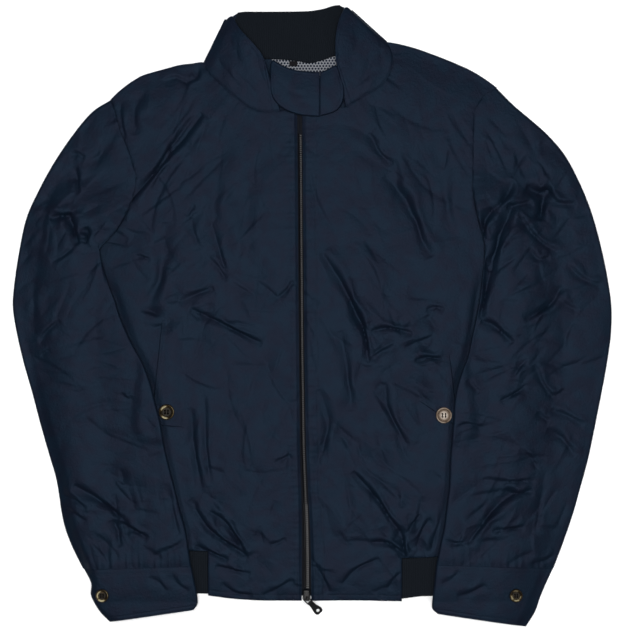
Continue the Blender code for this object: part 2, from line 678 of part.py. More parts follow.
def armhole_weight(row, fraction):
    """How much of the armhole's curve a sleeve point keeps: all of it on the seam, and it fades
    soonest at the armpit."""
    return 1.0 - smoothstep(row / (ARMHOLE_BULGE_SECTIONS * (1.15 - fraction)))


SLEEVE_RINGS = 27
SLEEVE_COLUMNS = (15, 5)
CUFF_RINGS = 5
CUFF_SWELL = 1.0
CUFF_THICKNESS = 5.0
CUFF_COLUMNS = (11, 5)


def sleeve(side, finish):
    table = SLEEVE_SECTIONS[side]
    sections = table_at(table, SLEEVE_RINGS)
    row = np.linspace(0.0, len(table) - 1.0, SLEEVE_RINGS)
    outward = -1.0 if side == "right" else 1.0
    curve = smooth(ARMHOLE[side], ARMHOLE_ROWS + 1)
    chord = resample([curve[0], curve[-1]], ARMHOLE_ROWS + 1)
    # The first ring follows the armhole, and stands a seam's width off it
    sections[:, 0] += outward * SEAM * 2.4 * armhole_weight(row, 0.0)
    sections[:, 2] += outward * SEAM * 2.4 * armhole_weight(row, 1.0)
    return flattened_tube(f"sleeve_{side}", side, sections, (row, curve - chord), SLEEVE_FOLDS[side],
                          SLEEVE_COLUMNS, SLEEVE_EDGE / 2, SLEEVE_SWELL, finish)


def cuff(side, finish):
    sections = table_at(CUFF_SECTIONS[side], CUFF_RINGS)
    sections[:, 1] -= SEAM
    sections[:, 3] -= SEAM
    return flattened_tube(f"cuff_{side}", side, sections, None, None, CUFF_COLUMNS,
                          CUFF_THICKNESS / 2, CUFF_SWELL, finish)


# Collar and neck

def thickened(middle, thickness):
    """Outer and inner grids, half the thickness to each side of a grid of middle points."""
    along = np.gradient(middle, axis=0)
    across = np.gradient(middle, axis=1)
    normal = np.cross(along, across)
    normal /= np.linalg.norm(normal, axis=-1, keepdims=True)
    return middle + normal * thickness / 2, middle - normal * thickness / 2


def wing_stations(side):
    """A wing's sections from its fold to its front end, a seam's width off the front's own
    seam points."""
    seam = moved_left(smooth(WING_SEAM[side], WING_STATIONS), SEAM * 2.2 * (1.0 if side == "right" else -1.0))
    top = smooth(WING_TOP[side], WING_STATIONS)
    low = np.array(WING_SEAM_HEIGHTS)[:, None]
    high = np.array(WING_TOP_HEIGHTS)[:, None]
    return np.hstack([seam, low, top, high])


def collar(finish):
    """The stand: wings folded over towards the fronts, and a back part flat on the surface."""
    right, left = wing_stations("right"), wing_stations("left")
    seam = smooth(BACK_NECK, WING_STATIONS)
    seam[:, 1] += SEAM * 1.5
    top = smooth(BACK_TOP, WING_STATIONS)
    seam[0, 0] += FOLD_INSET
    seam[-1, 0] -= FOLD_INSET
    flat = np.full((WING_STATIONS, 1), COLLAR_WALL / 2)
    back_part = np.hstack([seam, flat, top, flat])
    rows = np.vstack([right[::-1], back_part, left])
    t = np.linspace(0.0, 1.0, COLLAR_ROWS_ACROSS + 1)[None, :, None]
    middle = rows[:, None, :3] * (1.0 - t) + rows[:, None, 3:] * t
    outer, inner = thickened(middle, COLLAR_WALL)
    for face in (outer, inner):
        face[:, 0, :2] = middle[:, 0, :2]
    return wall("collar", outer, inner, finish)


def collar_facing(finish):
    """The inner collar: ribs raised over a plain underside."""
    rows = table_at(FACING_SECTIONS, 49)
    t = np.linspace(0.0, 1.0, 4)[None, :, None]
    plan = rows[:, None, :2] * (1.0 - t) + rows[:, None, 2:] * t
    crest = FACING_BOTTOM + FACING_HEIGHT + RIB_DEPTH * (np.arange(len(rows)) % 2 - 1.0)
    top = np.repeat(crest[:, None], plan.shape[1], axis=1)
    return wall("collar_facing", lift(plan, top), lift(plan, np.full_like(top, FACING_BOTTOM)), finish)


def throat_tab(name, table, rise, finish):
    rows = np.array(table, float)
    t = np.linspace(0.0, 1.0, 4)[None, :]
    x = np.repeat(rows[:, :1], 4, axis=1)
    y = rows[:, 1:2] * (1.0 - t) + rows[:, 2:3] * t
    z = TAB_BOTTOM + rise + 1.2 * np.sin(np.pi * t) * np.ones_like(x)
    plan = np.stack([x, y], -1)
    return wall(name, lift(plan, z + TAB_WALL), lift(plan, z), finish)


def neck_lining(finish):
    return prism("neck_lining", NECK_LINING, BACK_WALL + SEAM, BACK_WALL + SEAM + LINING_WALL, finish)


def size_label(finish):
    (x, y), (width, height, thickness) = LABEL_CENTRE, LABEL_SIZE
    low = BACK_WALL + 2 * SEAM + LINING_WALL
    corners = [(x + i * width / 2, y + j * height / 2) for i, j in ((-1, -1), (1, -1), (1, 1), (-1, 1))]
    return prism("size_label", corners, low, low + thickness, finish)


# Pockets, buttons and zip

def pocket_flap(side, finish):
    """A flap laid on the front's own points, moved out."""
    a, b, c, d = (np.array(p, float) for p in POCKET_FLAPS[side])
    s = np.linspace(0.0, 1.0, FLAP_COLUMNS + 1)[None, :, None]
    t = np.linspace(0.0, 1.0, FLAP_ROWS + 1)[:, None, None]
    plan = (1 - t) * ((1 - s) * a + s * b) + t * ((1 - s) * d + s * c)
    under = front_top(side, plan[..., 0], plan[..., 1]) + 2 * SEAM
    return wall(f"pocket_flap_{side}", lift(plan, under + FLAP_WALL), lift(plan, under), finish)


def button_seat(name, x, y, radius):
    """Height of the highest cloth under a button."""
    side = name.split("_")[-1]
    around = np.linspace(0.0, 2 * math.pi, 9)
    x, y = x + radius * np.cos(around), y + radius * np.sin(around)
    if "cuff" in name:
        return float(sleeve_under(side, x, y).max()) + CUFF_THICKNESS + 0.6 * CUFF_SWELL
    return float(front_top(side, x, y).max()) + 2 * SEAM + FLAP_WALL


def button(name, x, y, radius, thickness, finish):
    """A turned disc with a raised rim and a dished middle, and four holes."""
    seat = button_seat(name, x, y, radius) + SEAM
    profile = [(0.80, 0.0), (1.0, 0.42), (0.96, 0.86), (0.84, 1.0), (0.66, 0.72)]
    angles = np.linspace(0.0, 2 * math.pi, BUTTON_SIDES, endpoint=False)
    points = [(x + radius * r * math.cos(a), y + radius * r * math.sin(a), seat + thickness * h)
              for r, h in profile for a in angles]
    count = BUTTON_SIDES
    faces = [list(range(count))[::-1], list(range((len(profile) - 1) * count, len(profile) * count))]
    for ring in range(len(profile) - 1):
        for k in range(count):
            n = (k + 1) % count
            faces.append([ring * count + k, ring * count + n, (ring + 1) * count + n, (ring + 1) * count + k])
    disc = solid(name, points, faces, finish)
    for i, j in ((-1, -1), (1, -1), (1, 1), (-1, 1)):
        centre = (x + i * HOLE_SPREAD * radius / 9.5, y + j * HOLE_SPREAD * radius / 9.5)
        ring = [(centre[0] + HOLE_RADIUS * math.cos(a), centre[1] + HOLE_RADIUS * math.sin(a))
                for a in np.linspace(0.0, 2 * math.pi, 6, endpoint=False)]
        cut(disc, prism(f"cut_{name}_{i}_{j}", ring, seat - 1.0, seat + thickness + 1.0, finish))
    return disc


def zip_strip(name, y_values, left, right, low, high, finish):
    """A strip along the zip between two offsets from its line."""
    x = zip_x(y_values)
    plan = np.stack([np.stack([x + left, y_values], 1), np.stack([x + right, y_values], 1)], 1)
    height = np.full(plan.shape[:2], float(high))
    return wall(name, lift(plan, height), lift(plan, np.full(plan.shape[:2], float(low))), finish)


def zip_parts(tape, metal):
    y = np.linspace(CHAIN_TOP, CHAIN_BOTTOM, 13)
    half = chain_gap(y) - SEAM
    zip_strip("zip_chain", y, -half, half, *CHAIN_HEIGHTS, metal)
    tape_y = np.linspace(CHAIN_TOP, -326.0, 13)
    zip_strip("zip_tape_right", tape_y, -TAPE_WIDTH, -SEAM / 2, *TAPE_HEIGHTS, tape)
    zip_strip("zip_tape_left", tape_y, SEAM / 2, TAPE_WIDTH, *TAPE_HEIGHTS, tape)


def oriented(name, outline, low, high, origin, along, side_axis, finish):
    """A plate drawn in its own two axes and stood in space at origin."""
    up = np.cross(along, side_axis)
    count = len(outline)
    points = [np.array(origin) + u * np.array(along) + v * np.array(side_axis) + w * up
              for w in (low, high) for u, v in outline]
    faces = [list(range(count))[::-1], list(range(count, 2 * count))]
    faces += [[k, (k + 1) % count, (k + 1) % count + count, k + count] for k in range(count)]
    return solid(name, points, faces, finish)


def zip_slider(finish):
    """The slider's body, with the bail that holds the pull standing on its upper plate."""
    x, y, z = PULL_AXIS
    half, top = SLIDER_HALF, SLIDER_TOP
    body = [(x - 2.6, y - 3.0), (x + 2.6, y - 3.0), (x + half, y + 1.0), (x + half, y + 7.0),
            (x + 2.4, y + SLIDER_LENGTH - 3.0), (x - 2.4, y + SLIDER_LENGTH - 3.0), (x - half, y + 7.0),
            (x - half, y + 1.0)]
    slider = prism("zip_slider", body, 3.4, top, finish)
    arch_low, arch_high = top - 0.3, z + 1.9
    arch = [(-BAIL_HALF_LENGTH, arch_low), (BAIL_HALF_LENGTH, arch_low), (BAIL_HALF_LENGTH, z + 0.9),
            (BAIL_HALF_LENGTH - 1.0, arch_high), (1.0 - BAIL_HALF_LENGTH, arch_high),
            (-BAIL_HALF_LENGTH, z + 0.9)]
    along, up = (0.0, 1.0, 0.0), (0.0, 0.0, 1.0)
    bail = oriented("bail", arch, -0.6, 0.6, (x, y, 0.0), along, up, finish)
    eye = [(-1.75, top), (1.75, top), (1.75, z + 0.6), (1.1, z + 1.0), (-1.1, z + 1.0), (-1.75, z + 0.6)]
    window = oriented("cut_bail", eye, -2.0, 2.0, (x, y, 0.0), along, up, finish)
    bail.hide_render = True
    bail.display_type = "WIRE"
    join = slider.modifiers.new("bail", "BOOLEAN")
    join.operation = "UNION"
    join.solver = "EXACT"
    join.object = bail
    cut(slider, window)
    return slider


def zip_pull(finish):
    """The pull: a plate that widens to its end, with a window round the bail and a hole near
    the end. It hangs from the bail and its end lies on the surface."""
    flat = np.array([math.cos(PULL_YAW), math.sin(PULL_YAW), 0.0])
    along = flat * math.cos(PULL_PITCH) + np.array([0.0, 0.0, -math.sin(PULL_PITCH)])
    side_axis = np.array([-math.sin(PULL_YAW), math.cos(PULL_YAW), 0.0])
    end = PULL_LENGTH - 0.55
    outline = [(-0.55, -3.4), (-0.55, 3.4), (0.0, 3.7), (6.0, 3.7), (9.0, 3.2), (13.0, 3.4), (end - 5.0, 5.2),
               (end - 1.8, 5.0), (end, 3.0), (end, -3.0), (end - 1.8, -5.0), (end - 5.0, -5.2), (13.0, -3.4),
               (9.0, -3.2), (6.0, -3.7), (0.0, -3.7)]
    plate = oriented("zip_pull", outline, -PULL_WALL / 2 + 0.25, PULL_WALL / 2 - 0.25, PULL_AXIS, along,
                     side_axis, finish)
    window = [(0.55, -2.65), (0.55, 2.65), (5.4, 2.65), (5.4, -2.65)]
    cut(plate, oriented("cut_window", window, -3.0, 3.0, PULL_AXIS, along, side_axis, finish))
    ring = [(end - 4.6 + 2.0 * math.cos(a), 2.0 * math.sin(a))
            for a in np.linspace(0.0, 2 * math.pi, 12, endpoint=False)]
    cut(plate, oriented("cut_end", ring, -3.0, 3.0, PULL_AXIS, along, side_axis, finish))
    return plate


def build():
    for old in list(bpy.data.objects):
        bpy.data.objects.remove(old)
    nylon = material("navy nylon", (0.012, 0.018, 0.033), 0.38)
    knit = material("dark rib knit", (0.0085, 0.0105, 0.0145), 0.9)
    mesh_lining = material("grey mesh lining", (0.12, 0.125, 0.145), 0.8)
    label = material("black label tape", (0.006, 0.006, 0.007), 0.7)
    tape = material("navy zip tape", (0.010, 0.014, 0.026), 0.8)
    brass = material("dull zip metal", (0.20, 0.18, 0.14), 0.35, 1.0)
    gunmetal = material("dark plated metal", (0.12, 0.12, 0.125), 0.3, 1.0)
    dark_horn = material("dark horn", (0.035, 0.020, 0.012), 0.22)
    pale_horn = material("pale horn", (0.30, 0.24, 0.19), 0.25)

    back(nylon)
    hem_rib(knit)
    for side in ("right", "left"):
        front(side, nylon)
        sleeve(side, nylon)
        cuff(side, nylon)
        pocket_flap(side, nylon)
    collar(nylon)
    collar_facing(knit)
    neck_lining(mesh_lining)
    size_label(label)
    throat_tab("throat_tab", THROAT_TAB, 0.5, nylon)
    throat_tab("throat_tab_end", THROAT_TAB_END, 0.0, nylon)
    for name, (x, y, radius, thickness) in BUTTONS.items():
        button(name, x, y, radius, thickness, pale_horn if name == "button_pocket_left" else dark_horn)
    zip_parts(tape, brass)
    zip_slider(gunmetal)
    zip_pull(gunmetal)


build()
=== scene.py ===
"""The looks of a navy nylon blouson, zipped shut and laid flat on its back.

Sizes here are in millimetres until a mesh is made. +X is the wearer's left, +Y is towards the
collar, and the jacket lies on z = 0. Cloth is a height over the plan: a base that follows the
layers below, plus the creases, which are short tables of soft troughs with a ridge beside them.
"""

import math
from functools import partial

import bmesh
import bpy
import numpy as np
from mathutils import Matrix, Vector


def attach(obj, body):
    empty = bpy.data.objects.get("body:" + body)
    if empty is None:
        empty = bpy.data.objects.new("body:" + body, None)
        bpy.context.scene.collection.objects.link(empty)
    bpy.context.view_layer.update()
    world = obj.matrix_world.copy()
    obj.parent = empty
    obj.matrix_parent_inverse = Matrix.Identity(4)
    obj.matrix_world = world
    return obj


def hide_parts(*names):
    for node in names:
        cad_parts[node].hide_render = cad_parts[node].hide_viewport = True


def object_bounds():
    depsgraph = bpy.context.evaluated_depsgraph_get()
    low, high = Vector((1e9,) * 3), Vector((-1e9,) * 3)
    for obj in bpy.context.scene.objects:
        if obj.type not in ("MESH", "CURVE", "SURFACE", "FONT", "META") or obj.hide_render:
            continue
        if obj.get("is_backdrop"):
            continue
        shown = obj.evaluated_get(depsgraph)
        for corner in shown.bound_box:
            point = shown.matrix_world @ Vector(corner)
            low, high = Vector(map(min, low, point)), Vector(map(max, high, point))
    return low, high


MM = 0.001

# Cloth thicknesses and how the layers lie
SHELL_WALL = 2.0
BACK_WALL = 1.6
KNIT_WALL = 2.4
COLLAR_WALL = 2.2
SEAM = 0.3
THIN = 0.8
SEAM_OVERLAP = 0.9
FRONT_BASE = BACK_WALL + SEAM
BODY_RISE = 3.1
RISE_REACH = 34.0
SLEEVE_EDGE = 5.2
SLEEVE_SWELL = 1.4
SWELL_REACH = 20.0
LAYER_GAP = 0.5
FLAP_WALL = 1.8
RAMP_START = 46.0
RAMP_END = 24.0
SOFT_RAMP = (92.0, 24.0)
RIB_STEP = -268.0
LEAST_WALL = THIN + 0.2
EDGE_ROLL = 0.6
ARMHOLE_LENGTH = 200.0
CUFF_LENGTH = 130.0

# Rows of stitches: distances from the edge
ZIP_STITCHES = {"right": (6.0,), "left": (6.0, 15.0)}
HEM_STITCH = 6.5
CUFF_STITCHES = (2.2, 6.0)
COLLAR_STITCHES = (2.4, 7.0)
FLAP_STITCHES = (2.2, 7.2)
TAB_STITCH = 3.4

# Plan curves, x and y. "right" is the wearer's right, at -X, and OUTWARD points away from the zip.
OUTWARD = {"right": -1.0, "left": 1.0}
SHOULDER = {
    "right": [(-129, 303), (-155, 301), (-179, 295), (-203, 288), (-217, 280), (-227, 273), (-242, 259)],
    "left": [(88, 327), (111, 324), (136, 316), (155, 309), (172, 302), (187, 295), (200, 288), (221, 273)],
}
ARMHOLE = {
    "right": [(-242, 259), (-237, 243), (-231, 222), (-221, 196), (-212, 170), (-213, 152), (-220, 130),
              (-234, 105), (-259, 79)],
    "left": [(221, 273), (205, 262), (196, 248), (193, 233), (193, 195), (192, 171), (193, 148),
             (198, 122), (206, 92)],
}
SIDE_SEAM = {
    "right": [(-259, 79), (-257, -5), (-254, -101), (-243, -197), (-229, -275)],
    "left": [(206, 92), (213, -5), (211, -101), (206, -197), (199, -281)],
}
WING_SEAM = {
    "right": [(-129, 303), (-123, 292), (-110, 279), (-99, 268), (-86, 258), (-75, 250),
              (-59, 245), (-38, 246)],
    "left": [(88, 327), (93.5, 316), (94.5, 301), (87, 282), (74, 271), (61, 264), (45, 254), (39, 250)],
}
THROAT_SEAM = {"right": [(-38, 246), (-16, 244)], "left": [(39, 250), (-12, 243)]}
BACK_NECK = [(-129, 303), (-93, 307), (-53, 309), (-9, 310), (29, 311), (63, 317), (88, 327)]
RIB_SEAM = {
    "right": [(-229, -275), (-183, -279), (-125, -282)],
    "left": [(199, -281), (153, -288), (107, -290)],
}
RIB_CURVE = RIB_SEAM["right"] + [(-9, -288)] + RIB_SEAM["left"][::-1]
BAND_SEAM = {
    "right": [(-125, -282), (-68, -287), (-9, -288)],
    "left": [(107, -290), (45, -288), (-9, -288)],
}
HEM = {
    "right": [(-125, -335), (-93, -339), (-57, -341), (-7, -341)],
    "left": [(107, -342), (57, -341), (17, -341), (-7, -341)],
}
ZIP_LINE = [(-15.4, 244), (-14.8, 187), (-14, 79), (-13.2, -29), (-11.9, -125), (-11.3, -161), (-9.6, -205),
            (-8.1, -245), (-7.3, -288), (-7.2, -341)]
ZIP_GAP_PLACES = (-341.0, -290.0, -215.0, -100.0, 244.0)
ZIP_GAPS = (5.6, 5.6, 4.2, 3.4, 3.0)
SLIDER_GAP = 5.8

# Sleeve sections from the armhole to the cuff: outer fold x and y, then inner fold x and y
SLEEVE_SECTIONS = {
    "right": [
        (-242, 259, -259, 79), (-265, 244, -255, 70), (-287, 218, -251, 60), (-310, 184, -247, 48),
        (-328, 151, -242, 33), (-343, 117, -236, 18), (-352, 75, -231, 2), (-358, 33, -224, -15),
        (-359, 8, -218, -28), (-354, -23, -211, -41), (-346, -57, -202, -58), (-336, -92, -194, -78),
        (-326, -130, -188, -101), (-316, -165, -181, -129), (-308, -192, -177, -154),
        (-304, -213, -171, -180), (-301, -234, -165, -203), (-296, -256, -158, -232),
        (-287, -279, -151, -258), (-275, -303, -145, -299),
    ],
    "left": [
        (221, 273, 206, 92), (242, 252, 206, 79), (262, 235, 205, 63), (283, 216, 203, 46),
        (303, 192, 201, 29), (320, 160, 198, 10), (333, 128, 194, -9), (343, 94, 190, -27),
        (352, 54, 185, -50), (358, 14, 177, -70), (358, -18, 172, -87), (355, -44, 169, -106),
        (350, -74, 168, -125), (344, -105, 166, -149), (337, -140, 164, -176), (330, -173, 163, -203),
        (321, -206, 160, -228), (312, -238, 157, -252), (301, -270, 152, -275), (289, -302, 148, -297),
    ],
}
ARMHOLE_BULGE_SECTIONS = 6.0
CUFF_SECTIONS = {
    "right": [
        (-274, -304, -144.6, -299.6), (-265, -321, -141, -317), (-265, -336, -138, -333),
        (-255, -354, -137.3, -345), (-243, -367, -142, -352.5),
    ],
    "left": [
        (288.6, -303, 147.8, -297.8), (281, -319, 146, -314), (273, -338, 144, -333),
        (267, -355, 143, -350), (256, -373, 149, -357),
    ],
}
CUFF_SWELL = 1.0
CUFF_THICKNESS = 5.0

# Collar: top edges, and heights of the middle of the wall from a wing's fold to its front end
WING_TOP = {
    "right": [(-103, 354.5), (-97.5, 359.5), (-92, 351.5), (-85.8, 341.6), (-72.6, 327.2),
              (-61, 313), (-56.4, 302)],
    "left": [(46, 364.5), (41.5, 370), (36, 363.5), (30.5, 350), (27.4, 331), (27.2, 318), (28, 304)],
}
BACK_TOP = [(-103, 354.5), (-95.5, 361.5), (-81, 364.3), (-53, 364.5), (-8, 365), (15, 368.4), (31, 372.4),
            (38.5, 372.6), (46, 364.5)]
WING_SEAM_HEIGHTS = [3.3, 5.5, 6.2, 6.3, 6.3, 6.3, 6.3, 6.3, 6.3]
WING_TOP_HEIGHTS = [3.8, 7.6, 9.8, 11.4, 12.4, 12.8, 12.8, 12.5, 12.2]
WING_STATIONS = 9
FOLD_INSET = 3.0
FACING_SECTIONS = [
    (-112.0, 307.5, -89.5, 363.4), (-93, 308.6, -79, 364.3), (-53, 307.4, -53, 364.3), (-26, 305.8, -29, 364.5),
    (-4, 302.6, -6, 364.9), (11, 305.4, 4, 365.8), (22, 309.8, 12, 367.3), (32, 312, 17, 368.6),
    (56, 316.4, 27, 371.4), (76, 322, 32.5, 372.4),
]
FACING_BOTTOM = COLLAR_WALL + SEAM
THROAT_TAB = [
    (-50.6, 271, 299), (-49.4, 264.5, 303.6), (-47.2, 259.6, 305.2), (-44, 255, 304), (-40, 251, 301.6),
    (-36, 248, 299.4), (-31, 245, 297), (-22, 241.6, 294), (-13, 239.4, 292.6), (-4, 238.4, 291.8),
    (3, 238.0, 291.3), (8.6, 238.2, 291.3),
]
THROAT_TAB_END = [
    (9.0, 238.6, 291.4), (14, 239.6, 292.8), (20, 241.2, 295.8), (25, 243, 298.6), (29.4, 245.4, 299),
    (33, 249.4, 291), (36, 254.4, 282), (38, 261, 274),
]
TAB_BOTTOM = 7.8
TAB_WALL = 2.0

# Pocket flap corners: upper inner, upper outer, lower outer, lower inner
POCKET_FLAPS = {
    "right": [(-146, 3), (-180, -3), (-193, -130), (-153, -134)],
    "left": [(121, -54), (164, -45), (175, -134), (126, -101)],
}
BUTTONS = {
    "button_pocket_right": (-174.2, -115, 9.3, 3.0),
    "button_pocket_left": (157, -119, 9.5, 3.0),
    "button_cuff_right": (-251, -334, 7.8, 2.6),
    "button_cuff_left": (243, -334, 7.8, 2.6),
}

# Creases: a soft trough along a curve through three points, with a ridge on its left side
#   x0, y0, x1, y1, x2, y2, depth, ridge, half-width
FRONT_FOLDS = {
    "right": [
        (-131, 242, -160, 205, -218, 137, 4.3, 1.8, 5),
        (-142, 237, -166, 206, -189, 171, 1.8, 1.0, 3),
        (-200, 268, -212, 244, -209, 217, 1.3, 0.7, 8),
        (-136, 297, -139, 284, -153, 277, 1.8, 0.8, 4),
        (-179, 280, -164, 286, -147, 278, 1.4, 0.6, 4),
        (-229, 254, -229, 237, -224, 211, 1.4, 0.6, 4),
        (-146, 9, -104, -11, -60, -33, 2.8, 1.3, 4),
        (-160, 16, -142, 24, -119, 35, 1.8, 0.8, 7),
        (-176, 112, -180, 62, -196, 2, 1.9, 0.9, 13),
        (-140, 132, -145, 126, -150, 119, 1.2, 0.5, 3),
        (-144, 118, -141, 100, -134, 80, 1.0, 0.5, 5),
        (-121, 112, -111, 80, -102, 45, 1.2, 0.6, 5),
        (-124, 70, -112, 58, -102, 42, 1.1, 0.5, 3),
        (-41, 22, -33, 29, -23, 42, 1.5, 0.6, 3),
        (-211, 73, -203, 71, -194, 68, 1.4, 0.5, 3),
        (-104, 216, -118, 144, -110, 69, 1.0, 0.8, 17),
        (-61, 199, -80, 127, -73, 43, 0.9, 0.8, 18),
        (-128, -96, -127, -150, -121, -202, 1.2, 0.9, 4),
        (-145, -110, -141, -160, -132, -207, 2.0, 1.0, 6),
        (-45, -176, -36, -171, -26, -166, 1.4, 0.5, 3),
        (-142, -228, -120, -258, -76, -289, 2.8, 1.5, 4),
        (-123, -234, -101, -250, -79, -287, 3.0, 1.5, 4),
        (-146, -273, -125, -281, -100, -292, 2.4, 1.0, 4),
        (-116, -299, -97, -303, -74, -309, 1.8, 0.8, 4),
        (-108, -319, -94, -330, -72, -335, 1.5, 0.6, 4),
        (-59, -334, -43, -326, -23, -315, 1.6, 0.7, 4),
        (-51, -274, -42, -271, -33, -266, 1.3, 0.5, 3),
    ],
    "left": [
        (11, 75, 37, 36, 60, -12, 2.6, 1.5, 6),
        (46, 20, 60, -10, 68, -56, 3.0, 1.3, 4),
        (68, 219, 81, 196, 97, 182, 1.5, 0.8, 4),
        (86, 167, 112, 138, 142, 70, 2.4, 1.4, 8),
        (53, 235, 95, 175, 117, 103, 0.9, 0.8, 15),
        (136, 6, 146, 11, 158, 8, 1.5, 0.6, 4),
        (70, -18, 93, -14, 120, -21, 2.4, 1.0, 4),
        (98, -32, 84, -39, 69, -49, 1.6, 0.8, 4),
        (122, -53, 138, -49, 155, -51, 2.6, 1.0, 4),
        (110, -38, 129, -30, 146, -23, 1.2, 0.6, 4),
        (34, -18, 42, -66, 48, -114, 1.7, 0.9, 8),
        (8, -88, 19, -126, 9, -178, 1.6, 0.8, 8),
        (87, -80, 93, -118, 116, -158, 2.2, 1.2, 6),
        (49, -186, 75, -216, 107, -262, 2.8, 1.5, 4),
        (104, -255, 109, -272, 111, -290, 3.4, 1.2, 5),
        (115, -260, 119, -250, 129, -238, 2.0, 1.0, 3),
        (141, -281, 149, -256, 157, -230, 2.4, 1.2, 4),
        (124, -278, 131, -256, 141, -242, 1.8, 0.9, 4),
        (69, -270, 92, -272, 112, -287, 2.8, 1.2, 4),
        (35, -321, 52, -302, 80, -290, 1.7, 0.8, 4),
        (2, -296, 13, -314, 21, -331, 1.7, 0.8, 4),
        (89, -327, 96, -316, 106, -307, 1.4, 0.7, 4),
        (148, 208, 160, 151, 167, 91, 1.0, 0.9, 13),
    ],
}
SLEEVE_FOLDS = {
    "right": [
        (-314, 116, -302, 119, -288, 121, 4.0, 0.8, 6),
        (-289, 123, -286, 106, -279, 86, 4.6, 1.0, 6),
        (-269, 106, -267, 96, -272, 86, 3.2, 0.8, 4),
        (-290, 193, -281, 194, -272, 190, 2.0, 0.6, 4),
        (-283, 178, -281, 164, -280, 147, 2.8, 0.8, 4),
        (-278, 89, -295, 73, -312, 63, 1.9, 0.9, 4),
        (-280, 190, -313, 142, -328, 66, 0.8, 0.8, 10),
        (-326, 80, -332, 30, -334, -28, 0.8, 0.7, 10),
        (-274, 237, -267, 244, -245, 252, 1.2, 0.8, 5),
        (-327, -34, -317, -17, -302, -5, 1.9, 0.8, 4),
        (-326, -48, -321, -44, -314, -40, 1.3, 0.5, 3),
        (-228, -92, -222, -98, -214, -97, 1.2, 0.5, 3),
        (-197, -60, -191, -68, -180, -66, 1.6, 0.6, 3),
        (-285, -202, -250, -222, -219, -250, 3.6, 1.6, 6),
        (-229, -246, -213, -255, -196, -265, 3.0, 1.2, 4),
        (-238, -244, -232, -258, -228, -276, 2.2, 0.8, 6),
        (-191, -288, -177, -280, -151, -268, 1.8, 0.9, 4),
        (-299, -214, -284, -219, -269, -231, 1.8, 0.8, 4),
        (-298, -231, -284, -236, -269, -245, 1.3, 0.6, 4),
        (-171, -200, -166, -231, -158, -262, 1.8, 0.9, 4),
    ],
    "left": [
        (241, 160, 229, 137, 213, 124, 2.6, 1.0, 5),
        (216, 127, 207, 112, 203, 92, 4.4, 1.2, 5),
        (240, 133, 223, 92, 213, 52, 4.6, 1.2, 8),
        (214, 62, 208, 30, 199, -4, 3.4, 1.0, 7),
        (232, 131, 248, 134, 263, 137, 2.8, 0.8, 4),
        (256, 154, 271, 147, 286, 153, 4.6, 1.0, 8),
        (280, 152, 276, 134, 272, 114, 5.6, 1.0, 8),
        (280, 152, 292, 137, 316, 133, 2.4, 1.0, 5),
        (247, 125, 264, 97, 295, 75, 2.2, 1.2, 4),
        (259, 82, 270, 68, 284, 70, 1.8, 0.8, 4),
        (306, 62, 323, 46, 347, 37, 1.9, 1.0, 4),
        (255, 195, 246, 180, 240, 165, 1.2, 0.7, 5),
        (285, 165, 276, 176, 270, 186, 1.3, 0.6, 4),
        (298, 35, 284, 13, 254, -6, 3.2, 1.4, 6),
        (295, 20, 305, 13, 318, 5, 1.5, 0.6, 4),
        (202, -5, 219, -13, 240, -32, 3.2, 1.4, 5),
        (257, -52, 247, -62, 239, -74, 1.9, 0.8, 5),
        (224, -102, 240, -93, 254, -83, 2.4, 1.0, 5),
        (266, -58, 276, -80, 288, -99, 2.0, 1.0, 4),
        (284, -96, 293, -94, 302, -88, 1.4, 0.6, 4),
        (285, -112, 303, -118, 325, -130, 1.8, 0.9, 4),
        (269, -115, 276, -121, 284, -125, 1.9, 0.7, 4),
        (282, -135, 303, -150, 314, -168, 1.9, 1.0, 6),
        (249, -158, 263, -171, 270, -184, 1.4, 0.7, 3),
        (168, -134, 184, -129, 204, -133, 1.6, 0.8, 4),
        (185, -76, 193, -84, 200, -92, 1.4, 0.6, 4),
        (203, -195, 237, -198, 266, -196, 1.8, 0.8, 4),
        (228, -206, 243, -212, 263, -208, 3.0, 1.2, 6),
        (244, -210, 219, -230, 185, -273, 3.8, 1.6, 6),
        (215, -257, 233, -254, 253, -251, 2.4, 1.0, 4),
        (262, -296, 277, -292, 290, -285, 1.6, 0.8, 4),
        (156, -267, 170, -271, 184, -270, 1.6, 0.8, 4),
        (279, -185, 274, -221, 266, -263, 1.1, 0.7, 6),
    ],
}
CUFF_FOLDS = {
    "right": [
        (-195, -311, -183, -317, -173, -329, 1.6, 0.8, 5),
        (-169, -308, -159, -320, -147, -329, 1.6, 0.8, 5),
    ],
    "left": [
        (172, -334, 189, -330, 207, -320, 2.4, 1.2, 5),
        (154, -320, 164, -314, 175, -304, 1.5, 0.8, 5),
    ],
}
COLLAR_FOLDS = [
    (-112, 306, -100, 290, -84, 272, 0.8, 0.5, 5),
    (-98, 336, -90, 310, -78, 290, 0.6, 0.5, 9),
    (-66, 312, -63, 296, -52, 270, 0.7, 0.4, 6),
    (84, 318, 70, 300, 58, 280, 0.7, 0.5, 6),
    (56, 352, 54, 330, 44, 300, 0.7, 0.6, 9),
    (76, 296, 64, 284, 48, 272, 0.7, 0.4, 5),
]
TAB_FOLDS = [(-40, 282, -24, 268, -8, 262, 0.6, 0.4, 5), (-30, 250, -12, 256, 4, 250, 0.4, 0.3, 5)]

# Fine grids: squares of the cloth in one of the plan, how many of them one square of the inside
# spans, and the places of the first columns beside a fold
FRONT_FINE = (12, 9)
INSIDE_STEP = 3
FOLD_COLUMNS = (0.0, 0.35, 0.95, 1.8, 2.9)


# Curves

def unit(vectors):
    return vectors / np.linalg.norm(vectors, axis=-1, keepdims=True)


def travelled(path):
    """How far along a polyline each of its points is."""
    return np.concatenate([[0.0], np.cumsum(np.linalg.norm(np.diff(path, axis=0), axis=1))])


